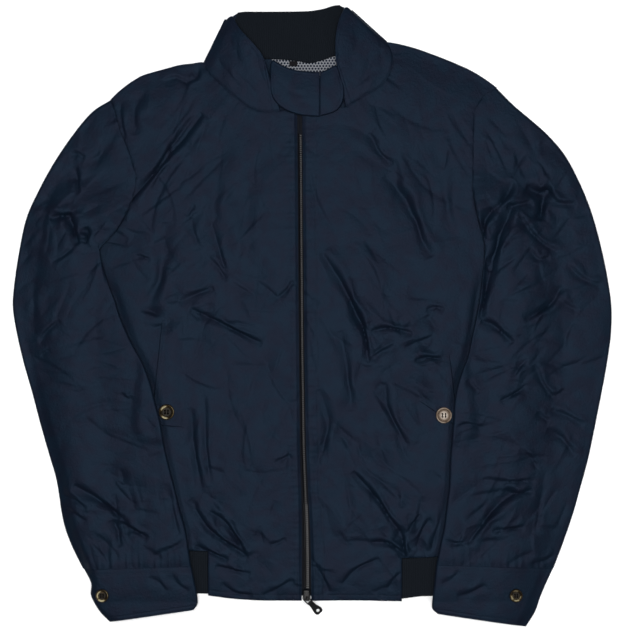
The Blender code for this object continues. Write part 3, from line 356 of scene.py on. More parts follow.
def resample(path, count):
    """Points an even distance apart on a polyline, read off at equal steps of its length."""
    path = np.asarray(path, float)
    along = travelled(path)
    wanted = np.linspace(0.0, along[-1], count)
    return np.stack([np.interp(wanted, along, column) for column in path.T], axis=1)


def refined(grid, factor, axis=0):
    """A grid with more rows along one axis: Catmull-Rom cubics at even steps, half of
    2b + (c-a)t + (2a-5b+4c-d)t2 + (3b-a-3c+d)t3 between each four rows a, b, c and d."""
    grid = np.moveaxis(np.asarray(grid, float), axis, 0)
    p = np.concatenate([2.0 * grid[:1] - grid[1:2], grid, 2.0 * grid[-1:] - grid[-2:-1]])
    t = np.linspace(0.0, 1.0, factor, endpoint=False).reshape((1, factor) + (1,) * (grid.ndim - 1))
    a, b, c, d = (q[:, None] for q in (p[:-3], p[1:-2], p[2:-1], p[3:]))
    fine = 0.5 * (2.0 * b + (c - a) * t + (2.0 * a - 5.0 * b + 4.0 * c - d) * t ** 2
                  + (3.0 * b - a - 3.0 * c + d) * t ** 3)
    fine = np.concatenate([fine.reshape((-1,) + grid.shape[1:]), grid[-1:]])
    return np.moveaxis(fine, 0, axis)


def smooth(path, count):
    """A curve of those cubics through the points, read at even steps of its length."""
    return resample(refined(path, 12), count)


def rows_at(table, wanted):
    """A table's rows at the given row numbers: Hermite cubics, each row's slope from its neighbours."""
    table = np.asarray(table, float)
    low = np.clip(np.floor(wanted).astype(int), 0, len(table) - 2)
    t = (wanted - low)[:, None]
    slope = np.gradient(table, axis=0)
    a, b = table[low], table[low + 1]
    m, n = slope[low], slope[low + 1]
    return ((2 * t ** 3 - 3 * t ** 2 + 1) * a + (t ** 3 - 2 * t ** 2 + t) * m
            + (3 * t ** 2 - 2 * t ** 3) * b + (t ** 3 - t ** 2) * n)


def smoothstep(value):
    value = np.clip(value, 0.0, 1.0)
    return value * value * (3.0 - 2.0 * value)


def bell(value, width):
    return np.exp(-(value / width) ** 2)


def nearest(path, x, y):
    """Least distance from each point to a polyline, its side (left is positive) and how far along
    the polyline the nearest point is, from 0 to 1: each segment's foot point, then the least."""
    path = np.asarray(path, float)
    x, y = np.asarray(x, float), np.asarray(y, float)
    start, step = path[:-1], np.diff(path, axis=0)
    lengths = np.maximum(np.hypot(step[:, 0], step[:, 1]), 1e-9)
    begun = np.concatenate([[0.0], np.cumsum(lengths)])
    best = np.full(x.shape, np.inf)
    side = np.zeros(x.shape)
    along = np.zeros(x.shape)
    for (ax, ay), (sx, sy), length, before in zip(start, step, lengths, begun):
        dx, dy = x - ax, y - ay
        t = np.clip((dx * sx + dy * sy) / length ** 2, 0.0, 1.0)
        distance = np.hypot(dx - t * sx, dy - t * sy)
        closer = distance < best
        best = np.where(closer, distance, best)
        side = np.where(closer, np.sign(sx * dy - sy * dx), side)
        along = np.where(closer, (before + t * length) / begun[-1], along)
    return best, side, along


def leftward(steps):
    """Directions square to the given steps, to their left side."""
    ahead = unit(steps)
    return np.stack([-ahead[:, 1], ahead[:, 0]], axis=1)


def coons(top, bottom, left, right):
    """A grid between four curves: the two ruled surfaces added, less the corners' one."""
    s = np.linspace(0.0, 1.0, len(top))[None, :, None]
    t = np.linspace(0.0, 1.0, len(left))[:, None, None]
    across = (1 - s) * left[:, None] + s * right[:, None]
    down = (1 - t) * top[None] + t * bottom[None]
    corners = (1 - t) * ((1 - s) * top[0] + s * top[-1]) + t * ((1 - s) * bottom[0] + s * bottom[-1])
    return across + down - corners


def relaxed(plan, rounds):
    """Evens out a plan grid: each inner point becomes the mean of its four neighbours."""
    plan = plan.copy()
    for _ in range(rounds):
        plan[1:-1, 1:-1] = (plan[:-2, 1:-1] + plan[2:, 1:-1] + plan[1:-1, :-2] + plan[1:-1, 2:]) / 4.0
    return plan


def lift(plan, heights):
    return np.concatenate([plan, np.broadcast_to(heights, plan.shape[:-1])[..., None]], axis=-1)


# Relief

def unevenness(x, y, cell, seed):
    """Smooth random heights from about -1 to 1: each corner of a square lattice has a random
    slope, and a point blends its four corners' planes with an S-curve."""
    x, y = np.broadcast_arrays(np.asarray(x, float), np.asarray(y, float))
    dice = np.random.default_rng(seed).uniform(0.0, 2.0 * np.pi, (128, 128))
    u, v = x / cell + 512.37, y / cell + 512.71
    i, j = np.floor(u).astype(int), np.floor(v).astype(int)
    s, t = u - i, v - j
    planes = []
    for di, dj in ((0, 0), (1, 0), (0, 1), (1, 1)):
        slope = dice[(i + di) % 128, (j + dj) % 128]
        planes.append(np.cos(slope) * (s - di) + np.sin(slope) * (t - dj))
    s = s ** 3 * (s * (6.0 * s - 15.0) + 10.0)
    t = t ** 3 * (t * (6.0 * t - 15.0) + 10.0)
    low, high = planes[0] * (1 - s) + planes[1] * s, planes[2] * (1 - s) + planes[3] * s
    return 1.5 * (low * (1 - t) + high * t)


def crumples(x, y, zones, seed):
    """The cloth's lesser relief. Slow swells, and small cushions that meet in valleys, carry
    scattered creases: each is a curve u, v = along it and off it, less a bend times u squared, with
    a height that falls off as an exponential on its steep side and nearly straight on its other."""
    x, y = np.broadcast_arrays(np.asarray(x, float), np.asarray(y, float))
    relief = 1.5 * unevenness(x, y, 130.0, seed) + 0.9 * unevenness(x, y, 62.0, seed + 1)
    bent_x = x + 6.0 * unevenness(x, y, 30.0, seed + 2)
    bent_y = y + 6.0 * unevenness(x, y, 30.0, seed + 3)
    for cell, height in ((38.0, 0.38), (15.0, 0.06)):
        amount = np.clip(0.7 + 0.7 * unevenness(x, y, 2.5 * cell, seed + 4), 0.1, 1.4)
        grain = unevenness(bent_x, bent_y, cell, seed + int(cell))
        relief = relief + height * amount * (2.4 * np.abs(grain) ** 0.9 - 0.8)
    dice = np.random.default_rng(seed + 9)
    for zone_x, zone_y, reach, direction, spread, count, length, height in zones:
        places = np.array([zone_x, zone_y]) + reach * 0.62 * dice.standard_normal((count, 2))
        turns = np.radians(direction + spread * dice.standard_normal(count))
        lengths = length * dice.uniform(0.5, 1.5, count)
        heights = 1.1 * height * dice.uniform(0.3, 1.25, count)
        heights = heights * np.where(dice.random(count) < 0.7, -1.0, 1.0)
        steep, gentle = dice.uniform(0.9, 2.3, count), dice.uniform(5.0, 14.0, count)
        flip, bend = np.where(dice.random(count) < 0.5, -1.0, 1.0), dice.uniform(-0.007, 0.007, count)
        creases = zip(places, turns, lengths, heights, steep, gentle, flip, bend)
        for (at_x, at_y), turn, long, high, sharp, soft, way, bow in creases:
            near = np.maximum(np.abs(x - at_x), np.abs(y - at_y)) < 0.6 * long + 12
            if not near.any():
                continue
            dx, dy = x[near] - at_x, y[near] - at_y
            u = dx * np.cos(turn) + dy * np.sin(turn)
            v = way * (dy * np.cos(turn) - dx * np.sin(turn) - bow * u * u)
            fade = np.clip(1.0 - (2.0 * u / long) ** 2, 0.0, 1.0) ** 0.8
            shape = np.where(v < 0.0, np.exp(-np.sqrt(v * v + 0.2) / sharp + 0.45 / sharp),
                             np.clip(1.0 - v / (1.7 * soft), 0.0, 1.0) ** 1.4)
            relief[near] += high * fade * shape
    return relief


# Where the scattered creases lie: middle x, middle y, reach, direction and its spread in degrees,
# how many, length, height
CREASED = {
    "front_right": [
        (-160, 190, 62, 58, 14, 24, 60, 1.0), (-75, 200, 60, 68, 20, 14, 55, 0.6),
        (-100, 80, 85, 62, 22, 24, 62, 0.8), (-215, 90, 36, -20, 35, 14, 30, 0.9),
        (-165, 2, 28, 5, 25, 14, 24, 0.9), (-70, -20, 70, -28, 20, 18, 60, 0.9),
        (-90, -150, 85, 82, 18, 26, 62, 0.8), (-105, -250, 58, -55, 22, 28, 40, 1.1),
        (-80, -318, 55, -15, 40, 16, 26, 0.8),
    ],
    "front_left": [
        (85, 195, 80, -48, 20, 28, 62, 0.8), (160, 190, 50, -75, 16, 16, 50, 0.8),
        (50, 30, 75, -60, 15, 24, 62, 1.0), (125, -45, 48, 10, 40, 28, 28, 0.9),
        (90, -115, 60, -58, 18, 24, 48, 0.9), (25, -180, 60, -74, 15, 18, 60, 0.8),
        (90, -225, 60, -46, 16, 26, 50, 1.1), (125, -265, 30, 72, 28, 24, 28, 1.2),
        (50, -312, 55, 20, 40, 20, 30, 0.9),
    ],
    "sleeve_right": [
        (-270, 190, 50, 62, 20, 20, 45, 1.0), (-300, 112, 45, 20, 42, 28, 36, 1.2),
        (-290, 30, 62, 35, 28, 28, 45, 1.0), (-270, -70, 62, 12, 24, 30, 55, 0.9),
        (-240, -160, 58, -10, 28, 24, 50, 0.9), (-225, -242, 55, -42, 26, 36, 40, 1.3),
    ],
    "sleeve_left": [
        (235, 200, 45, -64, 20, 20, 45, 1.0), (272, 130, 50, 20, 38, 28, 36, 1.3),
        (222, 100, 32, 52, 24, 18, 36, 1.2), (272, 30, 62, 35, 28, 30, 50, 1.1),
        (255, -70, 62, 25, 28, 30, 50, 1.0), (240, -150, 58, 0, 30, 24, 50, 0.9),
        (222, -242, 55, 42, 32, 36, 40, 1.3),
    ],
    "cuff_right": [(-205, -335, 60, 12, 35, 16, 28, 0.5)],
    "cuff_left": [(210, -335, 60, -12, 35, 16, 28, 0.5)],
    "collar": [(-95, 292, 36, -62, 22, 22, 32, 0.8), (62, 300, 36, 58, 22, 22, 32, 0.8)],
    "tab": [(-15, 268, 30, 20, 40, 12, 24, 0.35)],
    "back": [(0, 100, 150, 70, 30, 40, 80, 0.8), (0, -120, 150, -60, 30, 40, 80, 0.8)],
}


def fold_relief(folds, x, y):
    """Sum of the creases. Each is minus depth times a trough round its curve, plus ridge times a
    wider bell beside it, both fading towards the curve's ends. A wide crease's trough is a bell. A
    narrow one's falls off as an exponential on its left and nearly straight on its right."""
    relief = np.zeros_like(x)
    wander = unevenness(x, y, 24.0, 7)
    for x0, y0, x1, y1, x2, y2, depth, ridge, width in folds:
        distance, side, along = nearest(smooth([(x0, y0), (x1, y1), (x2, y2)], 14), x, y)
        offset = side * distance + 0.2 * width * wander
        fade = np.clip(4.0 * along * (1.0 - along), 0.0, 1.0) ** 0.42
        sharp = np.clip(1.6 - width / 8.0, 0.0, 1.0)
        width = 0.85 * width * (0.8 + 0.3 * np.sin(2.4 * np.pi * along))
        lean = np.where(offset > 0.0, np.exp(-np.abs(offset) / (0.45 * width)),
                        np.clip(1.0 + offset / (3.0 * width), 0.0, 1.0) ** 1.5)
        trough = (1.0 - sharp) * bell(offset, width) + 0.75 * sharp * lean
        crest = bell(offset - 1.5 * width, 1.4 * width)
        relief += fade * (0.6 * ridge * crest - depth * trough)
    return relief


def zip_x(y):
    line = np.array(ZIP_LINE)[::-1]
    return np.interp(y, line[:, 1], line[:, 0])


def chain_gap(y):
    """Half of the gap between the fronts, at a height on the zip: widest near the hem."""
    return np.interp(y, ZIP_GAP_PLACES, ZIP_GAPS)


def over_rib(y):
    """0 above the knit hem and 1 over it."""
    return smoothstep((RIB_STEP - y) / 10.0)


def front_base(y):
    """The lowest height of a front: on the back, and a step up on the knit hem."""
    return FRONT_BASE + (KNIT_WALL - BACK_WALL) * over_rib(y)


def front_under(x, y):
    """Underside of the fronts: a base plus a low dome, one minus a bell of the distance from the
    shoulders, sides and hem."""
    edges = [path[side] for side in OUTWARD for path in (SHOULDER, SIDE_SEAM)]
    reach = np.min([nearest(path, x, y)[0] for path in edges], axis=0)
    dome = 1.0 - np.exp(-(reach / RISE_REACH) ** 1.5)
    hem_dome = 1.0 - np.exp(-(np.maximum(y + 342.0, 0.0) / 16.0) ** 1.2)
    hem_dome = np.maximum(hem_dome, bell(x - zip_x(y), 26.0))
    return front_base(y) + BODY_RISE * dome * hem_dome * (1.0 - 0.2 * over_rib(y))


def sleeve_shadow(side, x, y):
    """0 where a sleeve lies over the front and 1 clear of it."""
    inner = np.array([row[2:] for row in SLEEVE_SECTIONS[side]])
    distance, beside, _ = nearest(inner, x, y)
    covered = (beside * OUTWARD[side] > 0) & (y < inner[0, 1])
    clear = smoothstep((distance - 2.0) / 12.0) * np.where(covered, 0.0, 1.0)
    return np.where(y < inner[0, 1], clear, 1.0)


def front_top(side, x, y, folded=True):
    """Outer face of a front: the underside plus the wall, the creases and the faint creases, which
    stop where the sleeve lies over them."""
    base = front_under(x, y) + SHELL_WALL
    if not folded:
        return base
    relief = 1.5 * fold_relief(FRONT_FOLDS[side], x, y)
    relief = relief + 0.9 * crumples(x, y, CREASED[f"front_{side}"], 3)
    return np.maximum(base + relief * sleeve_shadow(side, x, y), front_base(y) + LEAST_WALL)


def sleeve_under(side, x, y, ramp_start=RAMP_START, ramp_end=RAMP_END):
    """Underside of a sleeve or cuff: flat on the surface, and lifted clear over the body. The
    upper cloth climbs over a wider ramp than the lower one."""
    edge = SIDE_SEAM[side] + [(RIB_SIDES[side], -333.0), HEM[side][0], (0.0, -342.0)]
    distance, beside, _ = nearest(edge, x, y)
    inside = (beside * OUTWARD[side] < 0) & (y < SIDE_SEAM[side][0][1])
    over = np.where(inside, 1.0, smoothstep((ramp_start - distance) / (ramp_start - ramp_end)))
    flap = np.array(POCKET_FLAPS[side] + POCKET_FLAPS[side][:1], float)
    flap_near = smoothstep((26.0 - nearest(flap, x, y)[0]) / 14.0)
    return over * (front_top(side, x, y, folded=False) + LAYER_GAP + (FLAP_WALL + SEAM) * flap_near)


def turned_edge(distance, radius):
    """How far a cloth edge rolls down: a quarter circle over the last part before the edge."""
    t = 1.0 - np.clip(distance / radius, 0.0, 1.0)
    return radius * (1.0 - np.sqrt(1.0 - t * t))


def stitch_dents(distance, offsets, depth=0.3, half_width=0.8):
    """The dents of rows of stitches at the given distances from an edge: a bell across each."""
    return sum(depth * bell(distance - offset, half_width) for offset in offsets)


def seam_dip(distance, along_mm, seed):
    """How far cloth sinks at a sewn seam: a narrow bell across it that comes and goes along it."""
    amount = np.clip(0.55 + 0.8 * unevenness(along_mm, 0.0, 38.0, seed), 0.1, 1.3)
    return 0.45 * amount * bell(distance, 2.6)


def puckers(distance, along_mm, reach, height, pitch, seed):
    """Small ripples square to a sewn line, of uneven length and height, fading over reach."""
    wave = np.sin(2.0 * np.pi * along_mm / pitch + 2.2 * unevenness(along_mm, 0.0, 9.0, seed))
    amount = 0.35 + 0.65 * np.abs(unevenness(along_mm, 40.0, 17.0, seed + 1))
    return height * wave * amount * np.exp(-(distance / reach) ** 1.4)


# Cloth heights with their seams

def outline_of(side):
    """A front's outline: shoulder, armhole, side seam, hem, zip and neck, in one closed path."""
    zip_edge = [(zip_x(y), y) for y in (-341.0, -290.0, -150.0, 0.0, 150.0, 244.0)]
    parts = [smooth(SHOULDER[side], 16), smooth(ARMHOLE[side], 24), smooth(SIDE_SEAM[side], 16),
             smooth(RIB_SEAM[side], 8), smooth(HEM[side], 12), zip_edge, THROAT_SEAM[side][::-1],
             smooth(WING_SEAM[side], 16)[::-1]]
    return np.vstack([np.asarray(p, float) for p in parts])


def front_face(side, x, y):
    """The outer face of a front with its seams: puckers along the armhole, neck, zip and hem band,
    the dents of the topstitching, and every edge rolled down."""
    z = front_top(side, x, y)
    seed = 11 if side == "right" else 31
    for path, reach, height, pitch in ((ARMHOLE, 11.0, 0.18, 9.0), (WING_SEAM, 12.0, 0.35, 8.0),
                                       (HEM, 9.0, 0.35, 8.5)):
        curve = smooth(path[side], 30)
        distance, _, along = nearest(curve, x, y)
        z = z + puckers(distance, along * travelled(curve)[-1], reach, height, pitch, seed)
    z = z - stitch_dents(nearest(smooth(HEM[side], 24), x, y)[0], (HEM_STITCH,), 0.25, 0.9)
    z = z - 0.4 * bell(nearest(smooth(WING_SEAM[side], 30), x, y)[0], 1.6)
    off_zip = np.abs(x - zip_x(y)) - chain_gap(y)
    z = z + puckers(np.abs(off_zip - 6.5), y, 8.0, 0.3, 8.5, seed + 4)
    z = z - stitch_dents(off_zip, ZIP_STITCHES[side], 0.35)
    z = z + 0.5 * bell(off_zip - 5.0, 3.5) - bell(off_zip, 2.6)
    beside = np.array([row[2:] for row in SLEEVE_SECTIONS[side][1:] + CUFF_SECTIONS[side]])
    sag = np.interp(y, (-150.0, -70.0, 60.0), (0.9, 1.9, 3.0))
    from_sleeve = nearest(beside, x, y)[0]
    z = z - sag * bell(from_sleeve, 2.0 + 1.9 * sag) * smoothstep((70.0 - y) / 60.0)
    off_armhole, _, along = nearest(smooth(ARMHOLE[side], 30), x, y)
    z = z - seam_dip(off_armhole, ARMHOLE_LENGTH * along, seed + 6)
    z = np.maximum(z, front_base(y) + LEAST_WALL)
    return z - turned_edge(nearest(outline_of(side), x, y)[0], EDGE_ROLL)


def tube_height(side, x, y, from_edge, edge, swell):
    """The underside of a sleeve or cuff, and how far its top stands above it: its edge's
    thickness, a swell that is one minus a bell of the distance from its folds, and a climb onto
    the body that is softer than the underside's."""
    under = sleeve_under(side, x, y)
    climb = sleeve_under(side, x, y, *SOFT_RAMP) - under
    height = edge + swell * (1.0 - np.exp(-(from_edge / SWELL_REACH) ** 1.5))
    return under, height + np.maximum(climb, 0.0) * smoothstep(from_edge / 16.0)


def sleeve_face(side, x, y, from_edge):
    """The upper face of a sleeve: swell and creases, the creases fading towards its folds,
    puckers at the armhole and cuff, and both ends rolled down into their seams."""
    under, height = tube_height(side, x, y, from_edge, SLEEVE_EDGE, SLEEVE_SWELL)
    seed = 51 if side == "right" else 71
    relief = 1.4 * fold_relief(SLEEVE_FOLDS[side], x, y)
    relief = relief + 0.8 * crumples(x, y, CREASED[f"sleeve_{side}"], seed)
    off_armhole, _, along = nearest(smooth(ARMHOLE[side], 30), x, y)
    relief = relief + puckers(off_armhole, along * ARMHOLE_LENGTH, 13.0, 0.2, 9.0, seed + 2)
    off_cuff, _, across = nearest(np.reshape(CUFF_SECTIONS[side][0], (2, 2)), x, y)
    relief = relief + puckers(off_cuff, across * CUFF_LENGTH, 16.0, 0.6, 8.5, seed + 5)
    height = height + np.maximum(relief * smoothstep(from_edge / 13.0), 1.6 - height)
    height = height - seam_dip(off_armhole, ARMHOLE_LENGTH * along, seed + 6) - 0.7 * bell(off_cuff, 5.0)
    return under, under + height - turned_edge(np.minimum(off_armhole, off_cuff), EDGE_ROLL)


def cuff_face(side, x, y, from_edge):
    """The upper face of a cuff: flat cloth with its creases, stitched dents and rolled ends."""
    under, height = tube_height(side, x, y, from_edge, CUFF_THICKNESS, CUFF_SWELL)
    relief = fold_relief(CUFF_FOLDS[side], x, y) + 0.5 * crumples(x, y, CREASED[f"cuff_{side}"], 91)
    height = height + relief * smoothstep(from_edge / 8.0)
    ends = [nearest(np.reshape(CUFF_SECTIONS[side][row], (2, 2)), x, y)[0] for row in (0, -1)]
    height = height - stitch_dents(ends[0], CUFF_STITCHES) - stitch_dents(ends[1], CUFF_STITCHES)
    return under, under + np.maximum(height, 2.2) - turned_edge(np.minimum(*ends), 0.9)


# Meshes

def finish_mesh(name, points, faces, look, uv=None, sharp=50.0):
    """One object from points in millimetres. Normals are made to point outwards, edges sharper
    than the given angle stay crisp, and uv gives each point's place on the cloth."""
    mesh = bpy.data.meshes.new(name)
    mesh.from_pydata((np.asarray(points, float) * MM).tolist(), [], faces)
    shape = bmesh.new()
    shape.from_mesh(mesh)
    bmesh.ops.recalc_face_normals(shape, faces=shape.faces)
    shape.to_mesh(mesh)
    shape.free()
    if uv is not None:
        layer = mesh.uv_layers.new(name="cloth")
        corner_points = np.empty(len(mesh.loops), dtype=np.int32)
        mesh.loops.foreach_get("vertex_index", corner_points)
        layer.data.foreach_set("uv", (np.asarray(uv)[corner_points] * MM).astype(np.float32).ravel())
    mesh.materials.append(look)
    mesh.shade_smooth()
    mesh.set_sharp_from_angle(angle=math.radians(sharp))
    made = bpy.data.objects.new(name, mesh)
    bpy.context.scene.collection.objects.link(made)
    return made


def grid_faces(number, keep=None):
    """The quads of a grid of point numbers, as an array of four columns."""
    a, b, c, d = number[:-1, :-1], number[:-1, 1:], number[1:, 1:], number[1:, :-1]
    quads = np.stack([a, b, c, d], axis=-1)
    return quads.reshape(-1, 4) if keep is None else quads[keep]


def lowest_near(heights, step):
    """The least height within one inside square of each inside point."""
    padded = np.pad(heights, step, mode="edge")
    windows = np.lib.stride_tricks.sliding_window_view(padded, (2 * step + 1, 2 * step + 1))
    return windows[::step, ::step].min(axis=(-1, -2))


def shell(name, fine, coarse, look, cells=None, loop=False, uv=None, sharp=50.0):
    """A closed wall: a fine outer grid, a coarser inner one that reads the same cells, and strips
    of many-sided faces that join the two along every open edge. With loop, the last column meets
    the first."""
    rows, columns = fine.shape[:2]
    low_rows, low_columns = coarse.shape[:2]
    step_r = (rows - 1) // (low_rows - 1)
    step_c = columns // low_columns if loop else (columns - 1) // (low_columns - 1)
    number = np.arange(rows * columns).reshape(rows, columns)
    inside = rows * columns + np.arange(low_rows * low_columns).reshape(low_rows, low_columns)
    if loop:
        number = np.concatenate([number, number[:, :1]], axis=1)
        inside = np.concatenate([inside, inside[:, :1]], axis=1)
    if cells is None:
        cells = np.ones((inside.shape[0] - 1, inside.shape[1] - 1), bool)
    kept = np.repeat(np.repeat(cells, step_r, 0), step_c, 1)
    faces = grid_faces(number, kept).tolist() + grid_faces(inside, cells)[:, ::-1].tolist()
    empty_row = np.zeros((1, cells.shape[1]), bool)
    above = np.concatenate([empty_row, cells])
    below = np.concatenate([cells, empty_row])
    empty_column = np.zeros((cells.shape[0], 1), bool)
    before = np.concatenate([cells[:, -1:] if loop else empty_column, cells], axis=1)
    after = np.concatenate([cells, cells[:, :1] if loop else empty_column], axis=1)
    for i, j in np.argwhere(above != below):
        run = number[i * step_r, j * step_c:(j + 1) * step_c + 1]
        faces.append(run.tolist() + [int(inside[i, j + 1]), int(inside[i, j])])
    for i, j in np.argwhere(before != after):
        run = number[i * step_r:(i + 1) * step_r + 1, j * step_c]
        faces.append(run.tolist() + [int(inside[i + 1, j]), int(inside[i, j])])
    points = np.concatenate([fine.reshape(-1, 3), coarse.reshape(-1, 3)])
    used = np.zeros(len(points), bool)
    used[np.concatenate([np.asarray(f) for f in faces])] = True
    renumber = np.cumsum(used) - 1
    faces = [renumber[f].tolist() for f in faces]
    if uv is None:
        uv = fine[..., :2]
    rough_uv = uv[::step_r, ::step_c][:low_rows, :low_columns]
    place = np.concatenate([uv.reshape(-1, 2), rough_uv.reshape(-1, 2)])
    return finish_mesh(name, points[used], faces, look, place[used], sharp)


def sparse(grid):
    """Each third row and column, as the inside of a cloth has."""
    return grid[::INSIDE_STEP, ::INSIDE_STEP]


def laid(name, plan, top, under, look, cells=None, thin=THIN):
    """A cloth lying on others: its inside is thin below the lowest point near it, or on under
    where that is lower."""
    inside = np.minimum(lowest_near(top, INSIDE_STEP) - thin, sparse(under))
    return shell(name, lift(plan, top), lift(sparse(plan), inside), look, cells)


def edge_columns(width, count):
    """Places from 0 to 1 across a strip, close together at both ends, where its edge rolls."""
    ends = np.array(FOLD_COLUMNS) / width
    middle = np.linspace(ends[-1], 1.0 - ends[-1], count - 2 * len(ends) + 2)
    return np.concatenate([ends[:-1], middle, 1.0 - ends[:-1][::-1]])


def tube_faces(rings, sides):
    """The faces of rings of points, joined round and closed by one face at each end."""
    number = np.arange(rings * sides).reshape(rings, sides)
    faces = grid_faces(np.concatenate([number, number[:, :1]], axis=1)).tolist()
    return faces + [number[0].tolist(), number[-1].tolist()]


def angles_round(count):
    return np.linspace(0.0, 2.0 * np.pi, count, endpoint=False)


def swept(name, centres, profile, look, sideways):
    """A profile carried along a path: each profile point is its two numbers times the side and
    up directions at each path point."""
    ahead = unit(np.gradient(centres, axis=0))
    side_way = unit(np.cross(sideways, ahead))
    up_way = np.cross(ahead, side_way)
    points = centres[:, None] + profile[None, :, :1] * side_way[:, None]
    points = points + profile[None, :, 1:] * up_way[:, None]
    return finish_mesh(name, points.reshape(-1, 3), tube_faces(*points.shape[:2]), look)


def bead(rings, sides):
    """A rounded grain 1 long and 1 thick, along x: rings of points on an ellipse turned about x."""
    turn = np.linspace(0.0, np.pi, rings + 2)[1:-1]
    x = np.repeat(-0.5 * np.cos(turn), sides)
    radius = np.repeat(0.5 * np.sin(turn) ** 0.6, sides)
    angle = np.tile(angles_round(sides), rings)
    points = np.stack([x, radius * np.cos(angle), radius * np.sin(angle)], 1)
    return points, tube_faces(rings, sides)


def many(name, shape, places, along, across, sizes, look):
    """One mesh of many copies of a small shape: its x, y and z times each copy's three sizes,
    along its own three directions, from its own place."""
    points, faces = shape
    along, across = np.asarray(along, float), np.asarray(across, float)
    up = np.cross(along, across)
    scaled = points[None] * np.broadcast_to(sizes, (len(places), 3))[:, None]
    turned = sum(scaled[..., k:k + 1] * way[:, None] for k, way in enumerate((along, across, up)))
    all_points = (turned + np.asarray(places, float)[:, None]).reshape(-1, 3)
    all_faces = []
    for corners in {len(f) for f in faces}:
        group = np.array([f for f in faces if len(f) == corners])
        moved = group[None] + len(points) * np.arange(len(places))[:, None, None]
        all_faces += moved.reshape(-1, corners).tolist()
    return finish_mesh(name, all_points, all_faces, look)


# Finishes

def new_look(name, **values):
    """A material with the given values on its shader's own sockets, "_" standing for a space."""
    look = bpy.data.materials.new(name)
    look.use_nodes = True
    nodes = look.node_tree.nodes
    shader = nodes["Principled BSDF"]
    for socket, value in values.items():
        shader.inputs[socket.replace("_", " ")].default_value = value
    return look, nodes, look.node_tree.links, shader


def texture(nodes, links, kind, source, scale, **settings):
    """A texture node on the given coordinates, with a Mapping node for its scale."""
    mapping = nodes.new("ShaderNodeMapping")
    mapping.inputs["Scale"].default_value = (scale,) * 3
    links.new(source, mapping.inputs["Vector"])
    made = nodes.new(kind)
    for key, value in settings.items():
        if key in made.inputs:
            made.inputs[key].default_value = value
        else:
            setattr(made, key, value)
    links.new(mapping.outputs["Vector"], made.inputs["Vector"])
    return made


def ramp(nodes, links, source, stops):
    """A colour ramp: (place, colour) pairs."""
    made = nodes.new("ShaderNodeValToRGB")
    band = made.color_ramp
    while len(band.elements) < len(stops):
        band.elements.new(0.5)
    for element, (place, colour) in zip(band.elements, stops):
        element.position = place
        element.color = (*colour, 1.0)
    links.new(source, made.inputs["Fac"])
    return made


def bump(nodes, links, height, distance, strength, normal=None):
    made = nodes.new("ShaderNodeBump")
    made.inputs["Distance"].default_value = distance
    made.inputs["Strength"].default_value = strength
    links.new(height.outputs["Fac"], made.inputs["Height"])
    if normal is not None:
        links.new(normal, made.inputs["Normal"])
    return made.outputs["Normal"]


def mottled(nodes, links, shader, place, scale, stops, **settings):
    """Colours a shader by a noise on the piece's own coordinates, and gives the noise."""
    noise = texture(nodes, links, "ShaderNodeTexNoise", place.outputs["Object"], scale, **settings)
    tones = ramp(nodes, links, noise.outputs["Fac"], stops)
    links.new(tones.outputs["Color"], shader.inputs["Base Color"])
    return noise


# The shell's tones: purple navy, navy and teal navy, each with its place on the ramp
NAVY_STOPS = [
    (0.38, (0.0044, 0.0071, 0.0150)), (0.5, (0.0040, 0.0079, 0.0163)), (0.62, (0.0037, 0.0087, 0.0174)),
]


def nylon_look():
    """Plain-weave nylon: navy that drifts from a purple to a teal cast, a satin gloss in its own
    colour, a faint sheen, fine crumples and the weave's threads, 0.32 mm apart."""
    look, nodes, links, shader = new_look(
        "navy nylon", Roughness=0.47, Metallic=0.4, Specular_IOR_Level=0.05, Sheen_Weight=0.02,
        Sheen_Roughness=0.45, Sheen_Tint=(0.45, 0.55, 0.8, 1.0))
    place = nodes.new("ShaderNodeTexCoord")
    mottled(nodes, links, shader, place, 13.0, NAVY_STOPS, Detail=1.5, Roughness=0.5)
    crumple = texture(nodes, links, "ShaderNodeTexNoise", place.outputs["Object"], 70.0, Detail=4.0,
                      Roughness=0.55, Distortion=0.6)
    weave = texture(nodes, links, "ShaderNodeTexWave", place.outputs["UV"], 620.0, Scale=1.0)
    normal = bump(nodes, links, crumple, 0.0012, 0.35)
    normal = bump(nodes, links, weave, 0.00004, 0.35, normal)
    links.new(normal, shader.inputs["Normal"])
    return look


def knit_look(name, deep, pale):
    """Rib knit: matte yarn with a fine fuzz in its tone and its surface."""
    look, nodes, links, shader = new_look(name, Roughness=0.92, Specular_IOR_Level=0.04)
    place = nodes.new("ShaderNodeTexCoord")
    fuzz = mottled(nodes, links, shader, place, 900.0, [(0.3, deep), (0.7, pale)], Detail=3.0)
    links.new(bump(nodes, links, fuzz, 0.0003, 0.5), shader.inputs["Normal"])
    return look


def plain_look(name, colour, roughness, metallic=0.0, grain=0.0, grain_scale=300.0, specular=0.5):
    """One colour with a slight drift in tone and a fine grain."""
    look, nodes, links, shader = new_look(
        name, Roughness=roughness, Metallic=metallic, Specular_IOR_Level=specular)
    stops = [(at, tuple(share * c for c in colour)) for at, share in ((0.3, 0.75), (0.7, 1.25))]
    drift = mottled(nodes, links, shader, nodes.new("ShaderNodeTexCoord"), grain_scale, stops, Detail=4.0)
    if grain:
        links.new(bump(nodes, links, drift, grain * MM, 0.6), shader.inputs["Normal"])
    return look


